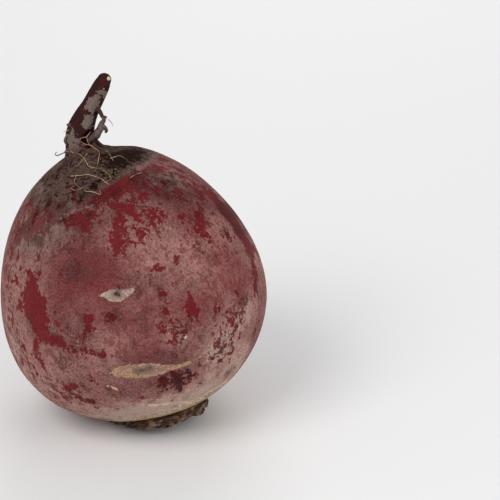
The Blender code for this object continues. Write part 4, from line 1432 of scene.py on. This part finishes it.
def crumbTree(material):
    tree, sheet, entry, identifiers = newTree("crumbs", sizesOf(crumbs))
    caught = sheet.add("GeometryNodeInputNamedAttribute", {"data_type": "FLOAT"}, {"Name": "caught"})
    density = caught * entry.also("Count Per Square") / (mm * mm)
    spots = sheet.add("GeometryNodeDistributePointsOnFaces", None,
                      {"Mesh": entry, "Density": density, "Seed": entry.also("Seed")})
    grain = sheet.add("GeometryNodeMeshIcoSphere", None, {"Radius": 0.5, "Subdivisions": 2})
    rough = sheet.nudge(sheet.add("GeometryNodeInputPosition"), crumbs["lumpiness"], 1.0)
    grain = sheet.add("GeometryNodeSetPosition", None, {"Geometry": grain, "Offset": rough})
    least, most = crumbs["shape"]
    size = sheet.add("FunctionNodeRandomValue", {"data_type": "FLOAT_VECTOR"},
                     {0: least, 1: most, "Seed": entry.also("Seed")})
    size = sheet.add("ShaderNodeVectorMath", {"operation": "SCALE"},
                     {0: size, "Scale": entry.also("Size") * mm})
    turn = sheet.add("FunctionNodeRandomValue", {"data_type": "FLOAT_VECTOR"},
                     {0: (0.0, 0.0, 0.0), 1: (6.28, 6.28, 6.28), "Seed": entry.also("Seed") + 1})
    heap = sheet.add("GeometryNodeInstanceOnPoints", None,
                     {"Points": spots, "Instance": grain, "Rotation": turn, "Scale": size})
    closeTree(sheet, heap, material)
    return tree, identifiers


def makeCrumbs(material, skin, shift):
    ground = skin.copy()
    ground.data = skin.data.copy()
    ground.name = "crumbs"
    link(ground)
    strokes = [[(*laid(middle, shift), 0.0) for middle in crumbs["middles"]]]
    caught = ease(strokeField(placesOf(ground.data) / mm, strokes), -crumbs["reach"], 0)
    setField(ground.data, "caught", caught)
    tree, identifiers = crumbTree(material)
    return runTree(ground, tree, identifiers, sizesOf(crumbs))


# Stage, in metres

studio = {
    "floorHalf": 3.0,
    "floorDrop": 0.0002,
    "floorPaint": (0.9, 0.9, 0.9, 1),
    "floorRoughness": 0.9,
    # name, place, size and power
    "lights": (
        ("key", (-0.45, -0.55, 0.75), 0.55, 4.6),
        ("fill", (0.65, -0.45, 0.45), 0.6, 2.0),
        ("back", (0.1, 0.7, 0.6), 0.6, 2.4),
    ),
    "aim": (0, 0, 0.05),
    "sky": 0.42,
}


def makeStage():
    mesh = bpy.data.meshes.new("floor")
    half = studio["floorHalf"]
    mesh.from_pydata([(-half, -half, 0), (half, -half, 0), (half, half, 0), (-half, half, 0)], [],
                     [(0, 1, 2, 3)])
    floor = link(bpy.data.objects.new("floor", mesh))
    floor.location.z = -studio["floorDrop"]
    material = bpy.data.materials.new("paleFloor")
    material.use_nodes = True
    shader = material.node_tree.nodes["Principled BSDF"]
    shader.inputs["Base Color"].default_value = studio["floorPaint"]
    shader.inputs["Roughness"].default_value = studio["floorRoughness"]
    mesh.materials.append(material)


def aimed(thing, place, direction):
    thing.location = place
    thing.rotation_euler = Vector(direction).to_track_quat("-Z", "Y").to_euler()
    return link(thing)


def makeLights():
    for name, place, size, power in studio["lights"]:
        light = bpy.data.lights.new(name, "AREA")
        light.size = size
        light.energy = power
        aimed(bpy.data.objects.new(name, light), place, Vector(studio["aim"]) - Vector(place))
    world = bpy.data.worlds.new("studio")
    world.use_nodes = True
    world.node_tree.nodes["Background"].inputs["Color"].default_value = (1, 1, 1, 1)
    world.node_tree.nodes["Background"].inputs["Strength"].default_value = studio["sky"]
    bpy.context.scene.world = world
    bpy.context.scene.view_settings.view_transform = "Standard"


view = {
    "place": (39.56, -680.0, 361.7),    # in millimetres
    "look": (0.0, 0.9135, -0.4067),
    "lens": 158.3,
    "sensor": 36,
    "clipStart": 0.01,
}


def makeCamera():
    data = bpy.data.cameras.new("camera")
    data.lens = view["lens"]
    data.sensor_width = view["sensor"]
    data.clip_start = view["clipStart"]
    camera = aimed(bpy.data.objects.new("camera", data), Vector(view["place"]) * mm, view["look"])
    bpy.context.scene.camera = camera


def declare(piece, slot, *nodes):
    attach(piece, "root")
    if nodes:
        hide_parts(*nodes)


makeCamera()
makeStage()
makeLights()
print("stage ready")

skinFinish = makeSkinMaterial()
skin, shift = makeSkin(skinFinish)
print("skin", len(skin.data.polygons), "faces")
huskFinish = makeHuskMaterial()
bases = makeLeafBases(huskFinish, shift)
print("leaf bases", len(bases.data.polygons), "faces")
sideRootFinish = makeFibreMaterial("sideRootSkin", (116, 98, 92), (58, 20, 22), 3.0, 103.0)
branch = makeSideRoot(sideRootFinish, shift)
broken = makeStubs(sideRootFinish, shift)
rootletFinish = makeFibreMaterial("rootletFibre", (196, 166, 134), (104, 70, 54), 3.0)
threads = makeRootlets(rootletFinish, skin, shift)
crumbFinish = makeFibreMaterial("drySoil", (112, 90, 64), (46, 32, 24), 0.9)
heap = makeCrumbs(crumbFinish, skin, shift)
print("side root, rootlets and crumbs ready")

declare(skin, "beet_skin", "beet_body")
declare(branch, "beet_skin")
declare(broken, "beet_skin")
declare(threads, "beet_skin")
declare(heap, "beet_skin")
declare(bases, "dried_leaf", "leaf_bases")
